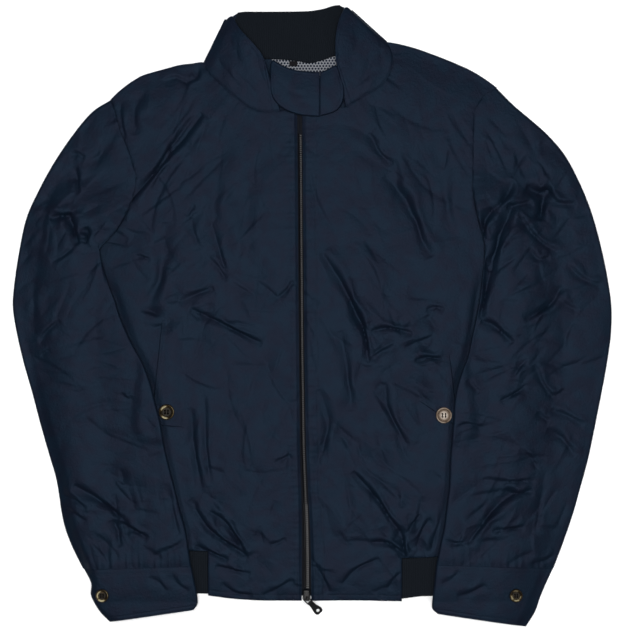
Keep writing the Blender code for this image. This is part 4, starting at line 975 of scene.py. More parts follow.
def horn_look(name, dark, middle, pale, scale):
    """Horn: each point's paleness, unsettled by noise, read off from dark to amber to cream. The paleness is
    partly the horn's own pale parts and partly painted highlights.
    """
    look, nodes, links, shader = new_look(name, Roughness=0.34, Specular_IOR_Level=0.06)
    place = nodes.new("ShaderNodeTexCoord")
    # This attribute carries painted highlights as well as pale horn
    paleness_and_glints = nodes.new("ShaderNodeAttribute")
    paleness_and_glints.attribute_name = "paleness_and_glints"
    streaks = texture(nodes, links, "ShaderNodeTexNoise", place.outputs["Object"], scale, Detail=3.0,
                      Distortion=1.2)
    mixed = nodes.new("ShaderNodeMath")
    mixed.operation = "MULTIPLY_ADD"
    mixed.inputs[1].default_value = 0.5
    links.new(streaks.outputs["Fac"], mixed.inputs[0])
    links.new(paleness_and_glints.outputs["Fac"], mixed.inputs[2])
    tones = ramp(nodes, links, mixed.outputs["Value"], [(0.2, dark), (0.55, middle), (1.0, pale)])
    links.new(tones.outputs["Color"], shader.inputs["Base Color"])
    return look


# Pieces

FRONT_SPLIT, FRONT_COLUMNS, THROAT_COLUMNS = 8, 18, 2
ARMHOLE_ROWS, FRONT_ROWS, BAND_ROWS, RELAX_ROUNDS = 12, 33, 4, 150
SLIDER_REACH = -316.0


def front_edge(side, y):
    """A front's edge beside the zip, a little further off beside the slider."""
    slider = smoothstep((SLIDER_REACH - y) / 8.0)
    gap = chain_gap(y) * (1.0 - slider) + SLIDER_GAP * slider
    return np.stack([zip_x(y) + OUTWARD[side] * gap, y], axis=-1)


def front(side, look):
    """A front panel and its hem band, on a plan grid from shoulder and neck to rib and hem that
    is evened out by averaging and then read finer along cubics."""
    across = FRONT_COLUMNS - FRONT_SPLIT
    shoulder = smooth(SHOULDER[side][::-1], FRONT_SPLIT + 1)
    wing = smooth(WING_SEAM[side], across - THROAT_COLUMNS + 1)
    throat = resample(THROAT_SEAM[side], THROAT_COLUMNS + 1)
    top = np.vstack([shoulder, wing[1:], throat[1:]])
    band = smooth(BAND_SEAM[side], across + 1)
    bottom = np.vstack([smooth(RIB_SEAM[side], FRONT_SPLIT + 1), band[1:]])
    outer_edge = np.vstack([smooth(ARMHOLE[side], ARMHOLE_ROWS + 1),
                            smooth(SIDE_SEAM[side], FRONT_ROWS - ARMHOLE_ROWS + 1)[1:]])
    centre_edge = front_edge(side, np.linspace(top[-1, 1], bottom[-1, 1], FRONT_ROWS + 1))
    top[-1], bottom[-1] = centre_edge[0], centre_edge[-1]
    plan = relaxed(coons(top, bottom, outer_edge, centre_edge), RELAX_ROUNDS)
    hem = smooth(HEM[side], across + 1)
    t = np.linspace(0.0, 1.0, BAND_ROWS + 1)[:, None, None]
    band_plan = (1.0 - t) * bottom[None, FRONT_SPLIT:] + t * hem[None]
    band_plan[:, -1] = front_edge(side, band_plan[:, -1, 1])
    rows, columns = FRONT_FINE
    plan = refined(refined(plan, rows), columns, axis=1)
    band_fine = refined(refined(band_plan, rows), columns, axis=1)[1:]
    unused = np.repeat(plan[-1:, :FRONT_SPLIT * columns], len(band_fine), axis=0)
    plan = np.vstack([plan, np.concatenate([unused, band_fine], axis=1)])
    squares = ((FRONT_ROWS + BAND_ROWS) * rows // INSIDE_STEP, FRONT_COLUMNS * columns // INSIDE_STEP)
    cells = np.ones(squares, bool)
    cells[FRONT_ROWS * rows // INSIDE_STEP:, :FRONT_SPLIT * columns // INSIDE_STEP] = False
    x, y = plan[..., 0], plan[..., 1]
    return laid(f"front_cloth_{side}", plan, front_face(side, x, y), front_under(x, y), look, cells=cells)


def back(look):
    """The back panel lies flat on the surface, with a few shallow creases under it."""
    top = np.vstack([smooth(SHOULDER["right"][::-1], 27), smooth(BACK_NECK, 45)[1:],
                     smooth(SHOULDER["left"], 27)[1:]])
    bottom = smooth(RIB_CURVE, len(top))
    edges = [np.vstack([smooth(ARMHOLE[s], 43), smooth(SIDE_SEAM[s], 76)[1:]]) for s in OUTWARD]
    plan = relaxed(coons(top, bottom, *edges), 60)
    x, y = plan[..., 0], plan[..., 1]
    crease = 0.45 * np.clip(crumples(x, y, CREASED["back"], 101) + 0.5, 0.0, 1.2)
    outline = np.vstack([top, edges[1], bottom[::-1], edges[0][::-1]])
    under = crease + turned_edge(nearest(outline[::2], x, y)[0], EDGE_ROLL)
    return shell("back_cloth", lift(plan, under), lift(sparse(plan), BACK_WALL), look)


def rib_shape(ribs, depth):
    """Rounded ribs: depth times the square root of one minus a square, once for each rib."""
    phase = 2.0 * np.mod(ribs, 1.0) - 1.0
    return depth * (np.sqrt(1.0 - 0.92 * phase * phase) - 0.28)


RIB_TOP = 5.6
RIB_CLEAR = 0.25
RIB_ENDS = (-125.4, 107.4)
RIB_SIDES = {"right": -230.0, "left": 199.0}
RIB_EDGE = [(-230, -330), (-125, -333), (-57, -335), (57, -336), (107, -339), (130, -336), (199, -334)]
RIB_HEIGHT = 50.0
RIB_SPACING = 2.7
RIB_SAMPLES = 8


def hem_rib(look):
    """The knit band: a flat loop section over one side, round its fold, across the back and over
    the other side, carried from the seam to the edge, with ribs along it."""
    turn = np.linspace(0.5 * np.pi, 1.5 * np.pi, 13)
    radius = RIB_TOP / 2.0 - RIB_CLEAR
    folds = []
    for side, way in OUTWARD.items():
        fold_x = RIB_SIDES[side] - way * radius * (1.0 + np.cos(turn))
        folds.append(np.stack([fold_x, radius + RIB_CLEAR - way * radius * np.sin(turn)], 1))
    path = np.vstack([[RIB_ENDS[0], folds[0][0, 1]], *folds, [RIB_ENDS[1], folds[1][-1, 1]]])
    ribs = int(travelled(path)[-1] / RIB_SPACING)
    section = resample(path, ribs * RIB_SAMPLES + 1)
    outward = -leftward(np.gradient(section, axis=0))
    along = np.arange(len(section)) / RIB_SAMPLES
    top, low = section + outward * rib_shape(along, 0.62)[:, None], section - outward * 1.7
    t = np.concatenate([[0.0, 0.012, 0.03], np.linspace(0.06, 0.94, 16), [0.97, 0.988, 1.0]])[:, None]

    def stand(points, outward, t, roll):
        """The section's points from the seam (t = 0) to the edge (1), sunk by roll."""
        seam = np.interp(points[:, 0], *np.transpose(RIB_CURVE)) - 1.4 * SEAM
        edge = np.interp(points[:, 0], *np.transpose(RIB_EDGE))
        rolled = points[None] - outward[None] * roll[..., None]
        return np.stack([rolled[..., 0], seam + (edge - seam) * t, rolled[..., 1]], -1)

    fine = stand(top, outward, t, turned_edge(np.minimum(t, 1.0 - t) * RIB_HEIGHT, 1.5))
    coarse = stand(low[::RIB_SAMPLES], outward[::RIB_SAMPLES], t[::3], np.zeros(t[::3].shape))
    uv = np.stack(np.broadcast_arrays(along[None] * RIB_SPACING, t * RIB_HEIGHT), -1)
    return shell("rib_cloth", fine, coarse, look, uv=uv, sharp=70.0)


def near_armhole(row, fraction):
    """1 at the armhole, fading over a sleeve's first sections, later towards the outer fold."""
    return 1.0 - smoothstep(row / (ARMHOLE_BULGE_SECTIONS * (1.15 - fraction)))


def flattened(name, side, sections, face_of, edge, wall, columns, look, row=None, curve=None):
    """A flat tube of cloth. Each ring runs from the outer fold over the top to the inner fold and
    back below, and near a fold both faces round off as a quarter circle of half the edge's
    thickness. A curve bends the first rings, which otherwise run straight across."""
    first, last = sections[:, None, :2], sections[:, None, 2:]
    widths = np.linalg.norm(last - first, axis=-1)
    over, below = (edge_columns(float(widths.mean()), count) for count in columns)
    fraction = np.tile(np.concatenate([over, below[-2:0:-1]]), (len(sections), 1))
    upper = np.broadcast_to(np.arange(fraction.shape[1]) < len(over), fraction.shape)

    def places(fraction):
        flat = first + (last - first) * fraction[..., None]
        if curve is None:
            return flat
        steps = np.linspace(0.0, 1.0, len(curve))
        added = np.stack([np.interp(fraction, steps, curve[:, k]) for k in range(2)], -1)
        return flat + near_armhole(row[:, None], fraction)[..., None] * added

    plan = places(fraction)
    from_edge = np.minimum(fraction, 1.0 - fraction) * widths
    under, top = face_of(side, plan[..., 0], plan[..., 1], from_edge)
    turn = np.sqrt(1.0 - (1.0 - np.clip(2.0 * from_edge / edge, 0.0, 1.0)) ** 2)
    middle = under + np.minimum(edge, top - under) / 2.0
    z = middle + np.where(upper, top - middle, under - middle) * turn
    inset = wall / widths
    plan_in = sparse(places(inset + fraction * (1.0 - 2.0 * inset)))
    mid = sparse(middle)
    above = np.minimum(lowest_near(np.where(upper, z, 1e3), INSIDE_STEP), 1e2) - wall
    above = np.where(sparse(turn) > 0.2, np.maximum(above, mid + 0.15), mid)
    z_in = np.where(sparse(upper), above, np.minimum(sparse(z) + wall, mid - 0.15))
    z_in = np.where(sparse(from_edge) < 1e-4, mid, z_in)
    return shell(name, lift(plan, z), lift(plan_in, z_in), look, loop=True)


def ring_rows(length, count, table):
    """Row numbers through a table, closer together at both ends, where the seams roll in."""
    return edge_columns(length, count) * (len(table) - 1.0)


def sleeve(side, look):
    """A sleeve: rings from the armhole's curve to the cuff, on cubics through the sections."""
    table = SLEEVE_SECTIONS[side]
    row = ring_rows(590.0, 331, table)
    sections = rows_at(table, row)
    curve = smooth(ARMHOLE[side], 49)
    chord = resample([curve[0], curve[-1]], 49)
    for column, fraction in ((0, 0.0), (2, 1.0)):
        sections[:, column] -= OUTWARD[side] * SEAM_OVERLAP * near_armhole(row, fraction)
    return flattened(f"sleeve_cloth_{side}", side, sections, sleeve_face, SLEEVE_EDGE, 1.0, (112, 61),
                     look, row, curve - chord)


def cuff(side, look):
    """A cuff: a short flat tube with real walls, open at its hem."""
    table = CUFF_SECTIONS[side]
    sections = rows_at(table, ring_rows(58.0, 46, table)) + [0.0, SEAM_OVERLAP, 0.0, SEAM_OVERLAP]
    return flattened(f"cuff_cloth_{side}", side, sections, cuff_face, CUFF_THICKNESS, 1.2, (100, 49), look)


# Collar and neck

def rounded_half(distance, half):
    """Half a wall's thickness near a rounded edge: a quarter circle over the last part."""
    t = 1.0 - np.clip(distance / half, 0.0, 1.0)
    return np.maximum(half * np.sqrt(1.0 - t * t), 0.04)


COLLAR_FINER = 12
FOLD_BULGE = 1.6


def wing_stations(side):
    """A wing's sections from its fold to its front end: seam point and top point."""
    seam = smooth(WING_SEAM[side], WING_STATIONS)
    seam = seam + OUTWARD[side] * SEAM_OVERLAP * leftward(np.gradient(seam, axis=0))
    top = smooth(WING_TOP[side], WING_STATIONS)
    return refined(np.column_stack([seam, WING_SEAM_HEIGHTS, top, WING_TOP_HEIGHTS]), COLLAR_FINER)


def fold_between(first, second, outward):
    """Sections round a fold: half a turn from one to the next, bulging to the given side."""
    s = np.linspace(0.0, 1.0, 9)[1:-1, None]
    turned = first * (1.0 - s) + second * s
    way = outward * leftward((second[3:5] - second[:2])[None])
    for k in (0, 3):
        turned[:, k:k + 2] += FOLD_BULGE * np.sin(np.pi * s) * way
    blend = (1.0 - np.cos(np.pi * s)) / 2.0
    turned[:, [2, 5]] = first[[2, 5]] * (1.0 - blend) + second[[2, 5]] * blend
    return turned


def collar(look):
    """The stand in one cloth: the wings folded over towards the fronts, round both folds, and the
    back part flat on the surface. A section runs straight from the neck seam to the top edge, and
    the wall stands on both sides of it along the grid's own normals."""
    right, left = wing_stations("right")[::-1], wing_stations("left")
    seam, top = smooth(BACK_NECK, WING_STATIONS), smooth(BACK_TOP, WING_STATIONS)
    seam[:, 1] -= SEAM_OVERLAP
    seam[[0, -1], 0] += (FOLD_INSET, -FOLD_INSET)
    flat = np.full(WING_STATIONS, COLLAR_WALL / 2.0)
    back_part = refined(np.column_stack([seam, flat, top, flat]), COLLAR_FINER)
    rows = np.vstack([right, fold_between(right[-1], back_part[0], 1.0), back_part,
                      fold_between(back_part[-1], left[0], -1.0), left])
    t = edge_columns(60.0, 53)[None, :, None]
    middle = rows[:, None, :3] * (1.0 - t) + rows[:, None, 3:] * t
    length = np.linalg.norm(rows[:, 3:5] - rows[:, :2], axis=1)[:, None]
    t = t[..., 0]
    station = travelled(middle[:, 30])
    edges = np.minimum((1.0 - t) * length, np.minimum(station, station[-1] - station)[:, None])
    wing = np.zeros(len(rows))
    wing[:len(right)] = np.linspace(1.0, 0.0, len(right))
    wing[-len(left):] = np.linspace(0.0, 1.0, len(left))
    x, y = middle[..., 0], middle[..., 1]
    relief = 0.5 * crumples(x, y, CREASED["collar"], 121) + fold_relief(COLLAR_FOLDS, x, y)
    relief = relief * smoothstep(t * 8.0) - 0.6 * bell(t * length, 1.8)
    middle[..., 2] += smoothstep(6.0 * wing)[:, None] * (relief - stitch_dents(edges, COLLAR_STITCHES))
    normal = unit(np.cross(np.gradient(middle, axis=1), np.gradient(middle, axis=0)))
    shift = normal * rounded_half(edges, 1.0)[..., None]
    return shell("collar_cloth", middle + shift, middle - shift, look)


def collar_facing(look):
    """The inner collar: ribs that run from the neck to the top edge, carried along the collar."""
    ribs, samples = 72, 8
    rows = smooth(FACING_SECTIONS, ribs * samples + 1)
    t = np.linspace(0.0, 1.0, 31)[None, :, None]
    plan = rows[:, None, :2] * (1.0 - t) + rows[:, None, 2:] * t
    t, along = t[..., 0], np.arange(len(rows))[:, None] / samples
    height = FACING_BOTTOM + 1.2 + rib_shape(along, 0.6)
    height = height + 0.35 * unevenness(plan[..., 0], plan[..., 1], 30.0, 131)
    height = height - turned_edge(60.0 * np.minimum(t, 1.0 - t), 1.2)
    uv = np.stack(np.broadcast_arrays(along * 2.6, t * 52.0), -1)
    low = lift(plan[::samples, ::3], FACING_BOTTOM)
    return shell("facing_knit", lift(plan, height), low, look, uv=uv, sharp=70.0)


NECK_LINING = [(-50, 286), (-50, 310), (-26, 308), (-4, 305), (11, 308), (22, 312), (38, 314),
               (38, 290), (-9, 280)]
LABEL_CENTRE = (-23.0, 302.0)
LABEL_SIZE = (9.6, 6.0, 0.6)
LABEL_BOTTOM = BACK_WALL + 2.0 * SEAM + 1.0
MESH_PITCH = 3.7


def neck_lining(look):
    """The mesh lining: a net of hexagons, each with a smaller hexagon cut out of it, given a
    thread's thickness."""
    turn = np.arange(6) * np.pi / 3.0 + np.pi / 6.0
    corner = np.stack([np.cos(turn), np.sin(turn)], 1) * MESH_PITCH / np.sqrt(3.0)
    low, high = np.min(NECK_LINING, axis=0), np.max(NECK_LINING, axis=0)
    pitch = np.array([MESH_PITCH, 0.866 * MESH_PITCH])
    j, i = np.indices(((high - low) / pitch).astype(int)[::-1] + 1)
    centre = (low + np.stack([i + 0.5 * (j % 2), j], -1) * pitch).reshape(-1, 2)
    distance, beside, _ = nearest(NECK_LINING + NECK_LINING[:1], centre[:, 0], centre[:, 1])
    centre = centre[(beside < 0) & (distance > 0.4)][:, None]
    points = np.concatenate([centre + corner, centre + 0.66 * corner], axis=1).reshape(-1, 2)
    wave = 0.35 * unevenness(points[:, 0], points[:, 1], 16.0, 141)
    points = lift(points, BACK_WALL + SEAM + 0.75 + wave)
    k = np.arange(6)
    ring = np.stack([k, (k + 1) % 6, 6 + (k + 1) % 6, 6 + k], 1)
    faces = (ring[None] + 12 * np.arange(len(centre))[:, None, None]).reshape(-1, 4).tolist()
    made = finish_mesh("mesh_cloth", points, faces, look, points[:, :2])
    shape = bmesh.new()
    shape.from_mesh(made.data)
    bmesh.ops.remove_doubles(shape, verts=shape.verts, dist=0.02 * MM)
    bmesh.ops.recalc_face_normals(shape, faces=shape.faces)
    shape.to_mesh(made.data)
    shape.free()
    thick = made.modifiers.new("thread", "SOLIDIFY")
    thick.thickness = 0.35 * MM
    thick.offset = 0.0
    return made


def size_label(look):
    """The bare label: a small strip on a grid, wavy, its edges rolled down."""
    width, height, thick = LABEL_SIZE
    u, v = np.meshgrid(edge_columns(width, 24), edge_columns(height, 19))
    x, y = (u - 0.5) * width, (v - 0.5) * height
    from_edge = np.minimum(np.minimum(u, 1.0 - u) * width, np.minimum(v, 1.0 - v) * height)
    z = LABEL_BOTTOM + thick - turned_edge(from_edge, 0.8 * thick) + 0.08 * unevenness(x, y, 5.0, 151)
    plan = np.stack([x, y], -1) + LABEL_CENTRE
    return shell("label_tape", lift(plan, z), lift(plan, LABEL_BOTTOM), look)


TAB_SEAM = 8.8


def throat_tab(name, table, rise, across, look):
    """One part of the tab: columns between its lower and upper edge, a low arch between them, with
    a stitched dent along its edges, which roll less where the two parts meet."""
    rows = rows_at(table, np.linspace(0.0, len(table) - 1.0, 3 * across + 1))
    t = edge_columns(50.0, 40)[None, :]
    x = rows[:, :1] + 0.0 * t
    y = rows[:, 1:2] * (1.0 - t) + rows[:, 2:3] * t
    outline = np.vstack([rows[:, [0, 1]], rows[::-1][:, [0, 2]], rows[:1, [0, 1]]])
    from_edge = nearest(outline, x, y)[0]
    low = TAB_BOTTOM + rise + 1.2 * np.sin(np.pi * t)
    relief = 0.45 * crumples(x, y, CREASED["tab"], 161) + fold_relief(TAB_FOLDS, x, y)
    roll = EDGE_ROLL + 1.3 * smoothstep(np.abs(x - TAB_SEAM) / 5.0)
    z = low + TAB_WALL + relief * smoothstep(from_edge / 8.0) - turned_edge(from_edge, roll)
    z = z - stitch_dents(from_edge, (TAB_STITCH,))
    plan = np.stack([x, y], -1)
    return shell(name, lift(plan, z), lift(sparse(plan), sparse(np.minimum(low, z - 0.7))), look)


# Pockets and buttons

def flap_height(side, x, y):
    """A flap's face: the front's own height moved out, where it is free, and meeting the front
    along its sewn edges."""
    a, b, c, d = POCKET_FLAPS[side]
    from_edge = nearest([a, b, c, d, a], x, y)[0]
    from_sewn = nearest([d, a, b], x, y)[0]
    z = front_face(side, x, y) + 0.15 + (FLAP_WALL + 0.3) * smoothstep(from_sewn / 22.0)
    z = z - stitch_dents(from_edge, FLAP_STITCHES, 0.12)
    return z - turned_edge(from_edge, 1.0) * smoothstep(from_sewn / 8.0)


def pocket_flap(side, look):
    """A flap on a grid between its four corners."""
    a, b, c, d = (np.array(p, float) for p in POCKET_FLAPS[side])
    s = edge_columns(38.0, 34)[None, :, None]
    t = edge_columns(130.0, 106)[:, None, None]
    plan = (1 - t) * ((1 - s) * a + s * b) + t * ((1 - s) * d + s * c)
    top = flap_height(side, plan[..., 0], plan[..., 1])
    base = front_top(side, plan[..., 0], plan[..., 1]) + 2.0 * SEAM
    return laid(f"flap_cloth_{side}", plan, top, np.minimum(base, top - 0.6), look, thin=0.6)


def button_seat(name, x, y, radius):
    """Height of the highest cloth under a button."""
    side = name.split("_")[-1]
    around = angles_round(8)
    x, y = x + radius * np.cos(around), y + radius * np.sin(around)
    if "cuff" in name:
        return float(sleeve_under(side, x, y, *SOFT_RAMP).max()) + CUFF_THICKNESS + 0.8 * CUFF_SWELL
    return float(front_top(side, x, y).max()) + 2.0 * SEAM + FLAP_WALL


HOLE_RADIUS = 0.95
HOLE_SPREAD = 1.75

# A button's section: distance from the middle and height, as shares of its radius and thickness
BUTTON_PROFILE = [(0.0, 0.74), (0.30, 0.73), (0.50, 0.74), (0.58, 0.70), (0.64, 0.42), (0.70, 0.40),
                  (0.78, 0.78), (0.86, 1.0), (0.94, 0.93), (0.98, 0.76), (1.0, 0.55)]
BUTTON_BELOW = [(1.0, 0.42), (0.93, 0.16), (0.80, 0.02), (0.4, 0.0), (0.02, 0.0)]

# Pale marks in the horn: angle, distance from the middle as a share of the radius, half-angle,
# half-width as a share of the radius, strength. The pale button's large middle mark is the horn's own
# cream; the other marks, crescents and spots near the rims, are painted highlights.
PALE_HORN_AND_GLINTS = {
    "button_pocket_right": [(125, 0.72, 40, 0.13, 0.85), (250, 0.78, 34, 0.12, 0.8), (10, 0.9, 62, 0.07, 0.4)],
    "button_pocket_left": [(0, 0.0, 400, 0.62, 0.85), (110, 0.9, 70, 0.1, 0.45), (230, 0.9, 60, 0.1, 0.5),
                           (350, 0.9, 60, 0.1, 0.4)],
    "button_cuff_right": [(160, 0.7, 62, 0.13, 0.85), (262, 0.76, 44, 0.15, 0.85), (25, 0.9, 45, 0.07, 0.45),
                          (90, 0.55, 30, 0.1, 0.3)],
    "button_cuff_left": [(205, 0.72, 34, 0.2, 0.6), (275, 0.75, 40, 0.13, 0.65), (95, 0.75, 34, 0.13, 0.5),
                         (335, 0.7, 26, 0.12, 0.5)],
}


def button(name, x, y, radius, thickness, look, thread):
    """A turned button: its height is a profile of the distance from its middle, with a rounded
    rim, a groove inside it and a dished centre, and four pits that fall off as steep bells. Two
    threads cross the centre."""
    seat = button_seat(name, x, y, radius) + SEAM
    scale = radius / 9.5
    hole, spread = HOLE_RADIUS * scale, HOLE_SPREAD * scale
    angle = angles_round(64)
    rings = np.concatenate([np.linspace(0.02, 0.90, 34), [0.93, 0.96, 0.98, 0.992, 1.0]])
    below, below_level = np.transpose(BUTTON_BELOW)
    share = np.concatenate([rings, below])[:, None]
    level = np.concatenate([np.interp(rings, *np.transpose(BUTTON_PROFILE)), below_level])[:, None]
    px, py = share * radius * np.cos(angle), share * radius * np.sin(angle)
    on_top = (np.arange(len(share)) < len(rings))[:, None]
    for i, j in ((-1, -1), (1, -1), (1, 1), (-1, 1)):
        away = np.hypot(px - i * spread, py - j * spread)
        level = level - 0.62 * on_top * smoothstep((1.25 * hole - away) / (0.5 * hole))
    grid = np.stack([x + px, y + py, seat + thickness * level], -1)
    faces = tube_faces(*grid.shape[:2])
    disc = finish_mesh(f"{name}_horn", grid.reshape(-1, 3), faces, look, sharp=60.0)
    # Paleness per point: the pale button's cream middle, and painted highlights near the rims
    paleness_and_glints = np.zeros(px.shape)
    for at_angle, at_radius, half_angle, half_width, strength in PALE_HORN_AND_GLINTS[name]:
        turned = (np.degrees(angle) - at_angle + 180.0) % 360.0 - 180.0
        mark = np.exp(-(turned / half_angle) ** 4) * bell(share - at_radius, half_width)
        paleness_and_glints = np.maximum(paleness_and_glints, strength * mark)
    layer = disc.data.attributes.new("paleness_and_glints", "FLOAT", "POINT")
    layer.data.foreach_set("value", paleness_and_glints.astype(np.float32).ravel())
    bars = []
    s, turn = np.linspace(-1.0, 1.0, 9), angles_round(8)
    profile = 0.52 * scale * np.stack([1.5 * np.cos(turn), np.sin(turn)], 1)
    for letter, i in (("a", -1.0), ("b", 1.0)):
        arc = seat + thickness * (0.55 + 0.42 * (1.0 - s ** 4))
        centres = np.stack([np.full(9, x + i * spread), y + s * 1.25 * spread, arc], 1)
        bars.append(swept(f"{name}_thread_{letter}", centres, profile, thread, (1.0, 0.0, 0.0)))
    return disc, bars


# Zip

TAPE_TOP, CHAIN_TOP, CHAIN_OPENS, CHAIN_BOTTOM = 243.0, 217.0, -225.2, -327.0
CHAIN_HEIGHTS = (4.9, 7.0)
TOOTH_PITCH = 2.3
CHAIN_HALF = {"zip_teeth": 1.9, "zip_teeth_low": 3.0}
TOOTH_LEAN = {"zip_teeth": 0.33, "zip_teeth_low": -0.12}
TAPE_HEIGHTS = (3.7, 4.6)
PULL_AXIS = (-7.2, -338.2, 10.4)
PULL_YAW = math.radians(-47.7)
PULL_PITCH = math.radians(21.0)
PULL_WALL = 1.6
SLIDER_TOP = 8.6
SLIDER_HALF = 4.4
SLIDER_LENGTH = 13.0
SLIDER_FOOT = (-7.2, -341.2, 0.0)
BAIL_HALF_LENGTH = 2.9

# Half-widths along the slider as shares of its own: narrow at the hem end, widest at the
# shoulders, pinched at the waist
SLIDER_PROFILE = [(0.0, 0.55), (0.05, 0.8), (0.2, 1.0), (0.45, 0.98), (0.62, 0.86), (0.8, 0.78),
                  (0.93, 0.74), (1.0, 0.5)]

# A tooth's outline from the tape to its head, and its layers: height, length, width, share of lean
TOOTH_OUTLINE = [(-0.5, -0.42), (-0.18, -0.46), (0.08, -0.30), (0.34, -0.40), (0.5, -0.18),
                 (0.5, 0.18), (0.34, 0.40), (0.08, 0.30), (-0.18, 0.46), (-0.5, 0.42)]
TOOTH_LAYERS = [(-0.5, 0.92, 0.92, 0.0), (-0.1, 1.0, 1.0, 0.0), (0.2, 0.74, 0.9, 0.4),
                (0.42, 0.42, 0.7, 0.8), (0.5, 0.2, 0.45, 1.0)]


def tooth_shape(lean):
    """One zip tooth, a unit long, wide and high: a rounded clasp at the tape, a waist and a
    rounded head, as an outline carried up in five steps that shrink and shift by lean in all."""
    outline = np.array(TOOTH_OUTLINE)
    points = np.vstack([lift(outline * (length, width) + (lean * share, 0.0), z)
                        for z, length, width, share in TOOTH_LAYERS])
    return points, tube_faces(len(TOOTH_LAYERS), len(outline))


def zip_chain(name, top, bottom, half_width, lean, look):
    """Two rows of teeth that interlock: the left row half a pitch below the right one."""
    count = int((top - bottom) / TOOTH_PITCH)
    places, along = [], []
    for toward, shift in ((-1.0, 0.0), (1.0, 0.5)):
        y = top - (np.arange(count) + shift) * TOOTH_PITCH
        z = sum(CHAIN_HEIGHTS) / 2.0 + 0.05 * unevenness(y, 0.0, 3.1, 181 + int(toward))
        places.append(np.stack([zip_x(y) + toward * half_width * 0.44, y, z], 1))
        along += [(-toward, 0.0, 0.0)] * count
    sizes = (half_width * 1.12, 0.6 * TOOTH_PITCH, CHAIN_HEIGHTS[1] - CHAIN_HEIGHTS[0])
    across = [(0.0, 1.0, 0.0)] * (2 * count)
    return many(name, tooth_shape(lean), np.concatenate(places), along, across, sizes, look)


def zip_tape(side, look):
    """A tape: a woven strip along the zip, its inner edge thicker where the teeth are sewn on."""
    y = np.linspace(TAPE_TOP, CHAIN_BOTTOM, 301)[:, None]
    across = np.array([0.2, 0.5, 1.0, 1.8, 2.6, 4.4, 6.6, 8.8, 11.0])[None]
    plan = np.stack(np.broadcast_arrays(zip_x(y) + OUTWARD[side] * across, y), -1)
    top = TAPE_HEIGHTS[1] + 0.25 * bell(across, 1.5)
    uv = np.stack(np.broadcast_arrays(across, y), -1)
    return shell(f"zip_weave_{side}", lift(plan, top), lift(plan, TAPE_HEIGHTS[0]), look, uv=uv)


def superellipse(count, power):
    """Points round a unit circle made squarer: its cosine and sine to a power, each sign kept."""
    c, s = np.cos(angles_round(count)), np.sin(angles_round(count))
    return np.stack([np.sign(c) * np.abs(c) ** power, np.sign(s) * np.abs(s) ** power], 1)


def moulded(name, outline, layers, look):
    """A part of the slider: an outline carried up from the slider's foot through layers of
    (height, scale), its two ends closed."""
    centre = outline.mean(axis=0)
    points = np.vstack([lift(centre + (outline - centre) * size, height) for height, size in layers])
    faces = tube_faces(len(layers), len(outline))
    return finish_mesh(name, points + SLIDER_FOOT, faces, look, sharp=38.0)


def slider_half(share):
    return SLIDER_HALF * np.interp(share, *np.transpose(SLIDER_PROFILE))


def zip_slider(look):
    """The slider: an upper and a lower plate joined by a wedge, side flanges on both, and the
    bail, an arch bent from flat wire, on the upper plate."""
    x, y, z = PULL_AXIS
    share = np.linspace(0.0, 1.0, 25)
    edge = np.column_stack([slider_half(share), share * SLIDER_LENGTH])
    outline = np.vstack([edge, edge[::-1] * (-1.0, 1.0)])
    upper = [(6.9, 0.94), (7.1, 1.0), (8.0, 1.0), (8.45, 0.95), (SLIDER_TOP, 0.84)]
    lower = [(3.4, 0.9), (3.6, 0.98), (4.4, 1.0), (4.8, 0.96)]
    wedge = [(4.6, 1.0), (7.1, 1.0)]
    pieces = [moulded("slider_upper", outline, upper, look), moulded("slider_lower", outline, lower, look),
              moulded("slider_wedge", outline * (0.32, 0.4) + (0.0, 6.0), wedge, look)]
    s = np.linspace(0.12, 0.95, 14)
    for side, toward in OUTWARD.items():
        flange = [x + toward * (slider_half(s) - 0.45), SLIDER_FOOT[1] + s * SLIDER_LENGTH, np.full(14, 6.7)]
        pieces.append(swept(f"slider_flange_{side}", np.stack(flange, 1),
                            superellipse(12, 0.7) * (0.42, 0.75), look, (0.0, 0.0, 1.0)))
    arc_y = y + BAIL_HALF_LENGTH * 0.86 * np.cos(np.pi * (1.0 - share))
    arc_z = SLIDER_TOP - 0.5 + (z + 2.0 - SLIDER_TOP) * np.sin(np.pi * share) ** 0.45
    pieces.append(swept("slider_bail", np.stack([np.full(25, x), arc_y, arc_z], 1),
                        superellipse(12, 0.6) * (0.75, 0.42), look, (1.0, 0.0, 0.0)))
    return pieces


def pull_axes():
    """Directions along the pull, across it and out of its face."""
    flat = np.array([math.cos(PULL_YAW), math.sin(PULL_YAW), 0.0])
    along = flat * math.cos(PULL_PITCH) + np.array([0.0, 0.0, -math.sin(PULL_PITCH)])
    across = np.array([-math.sin(PULL_YAW), math.cos(PULL_YAW), 0.0])
    return along, across, np.cross(along, across)


# The pull's half-widths along it, and its two parts: name, start, end, middle of the opening, half
# the opening along and across, and the power that squares the opening's corners
PULL_PROFILE = [(-0.55, 3.2), (0.0, 3.7), (6.0, 3.7), (9.0, 3.2), (13.0, 3.4), (21.4, 5.2), (24.6, 5.0),
                (26.4, 3.0)]
PULL_PARTS = [("eye", -0.55, 9.0, 2.9, (2.45, 2.65), 0.55), ("end", 9.0, 26.4, 21.8, (2.1, 2.1), 1.0)]


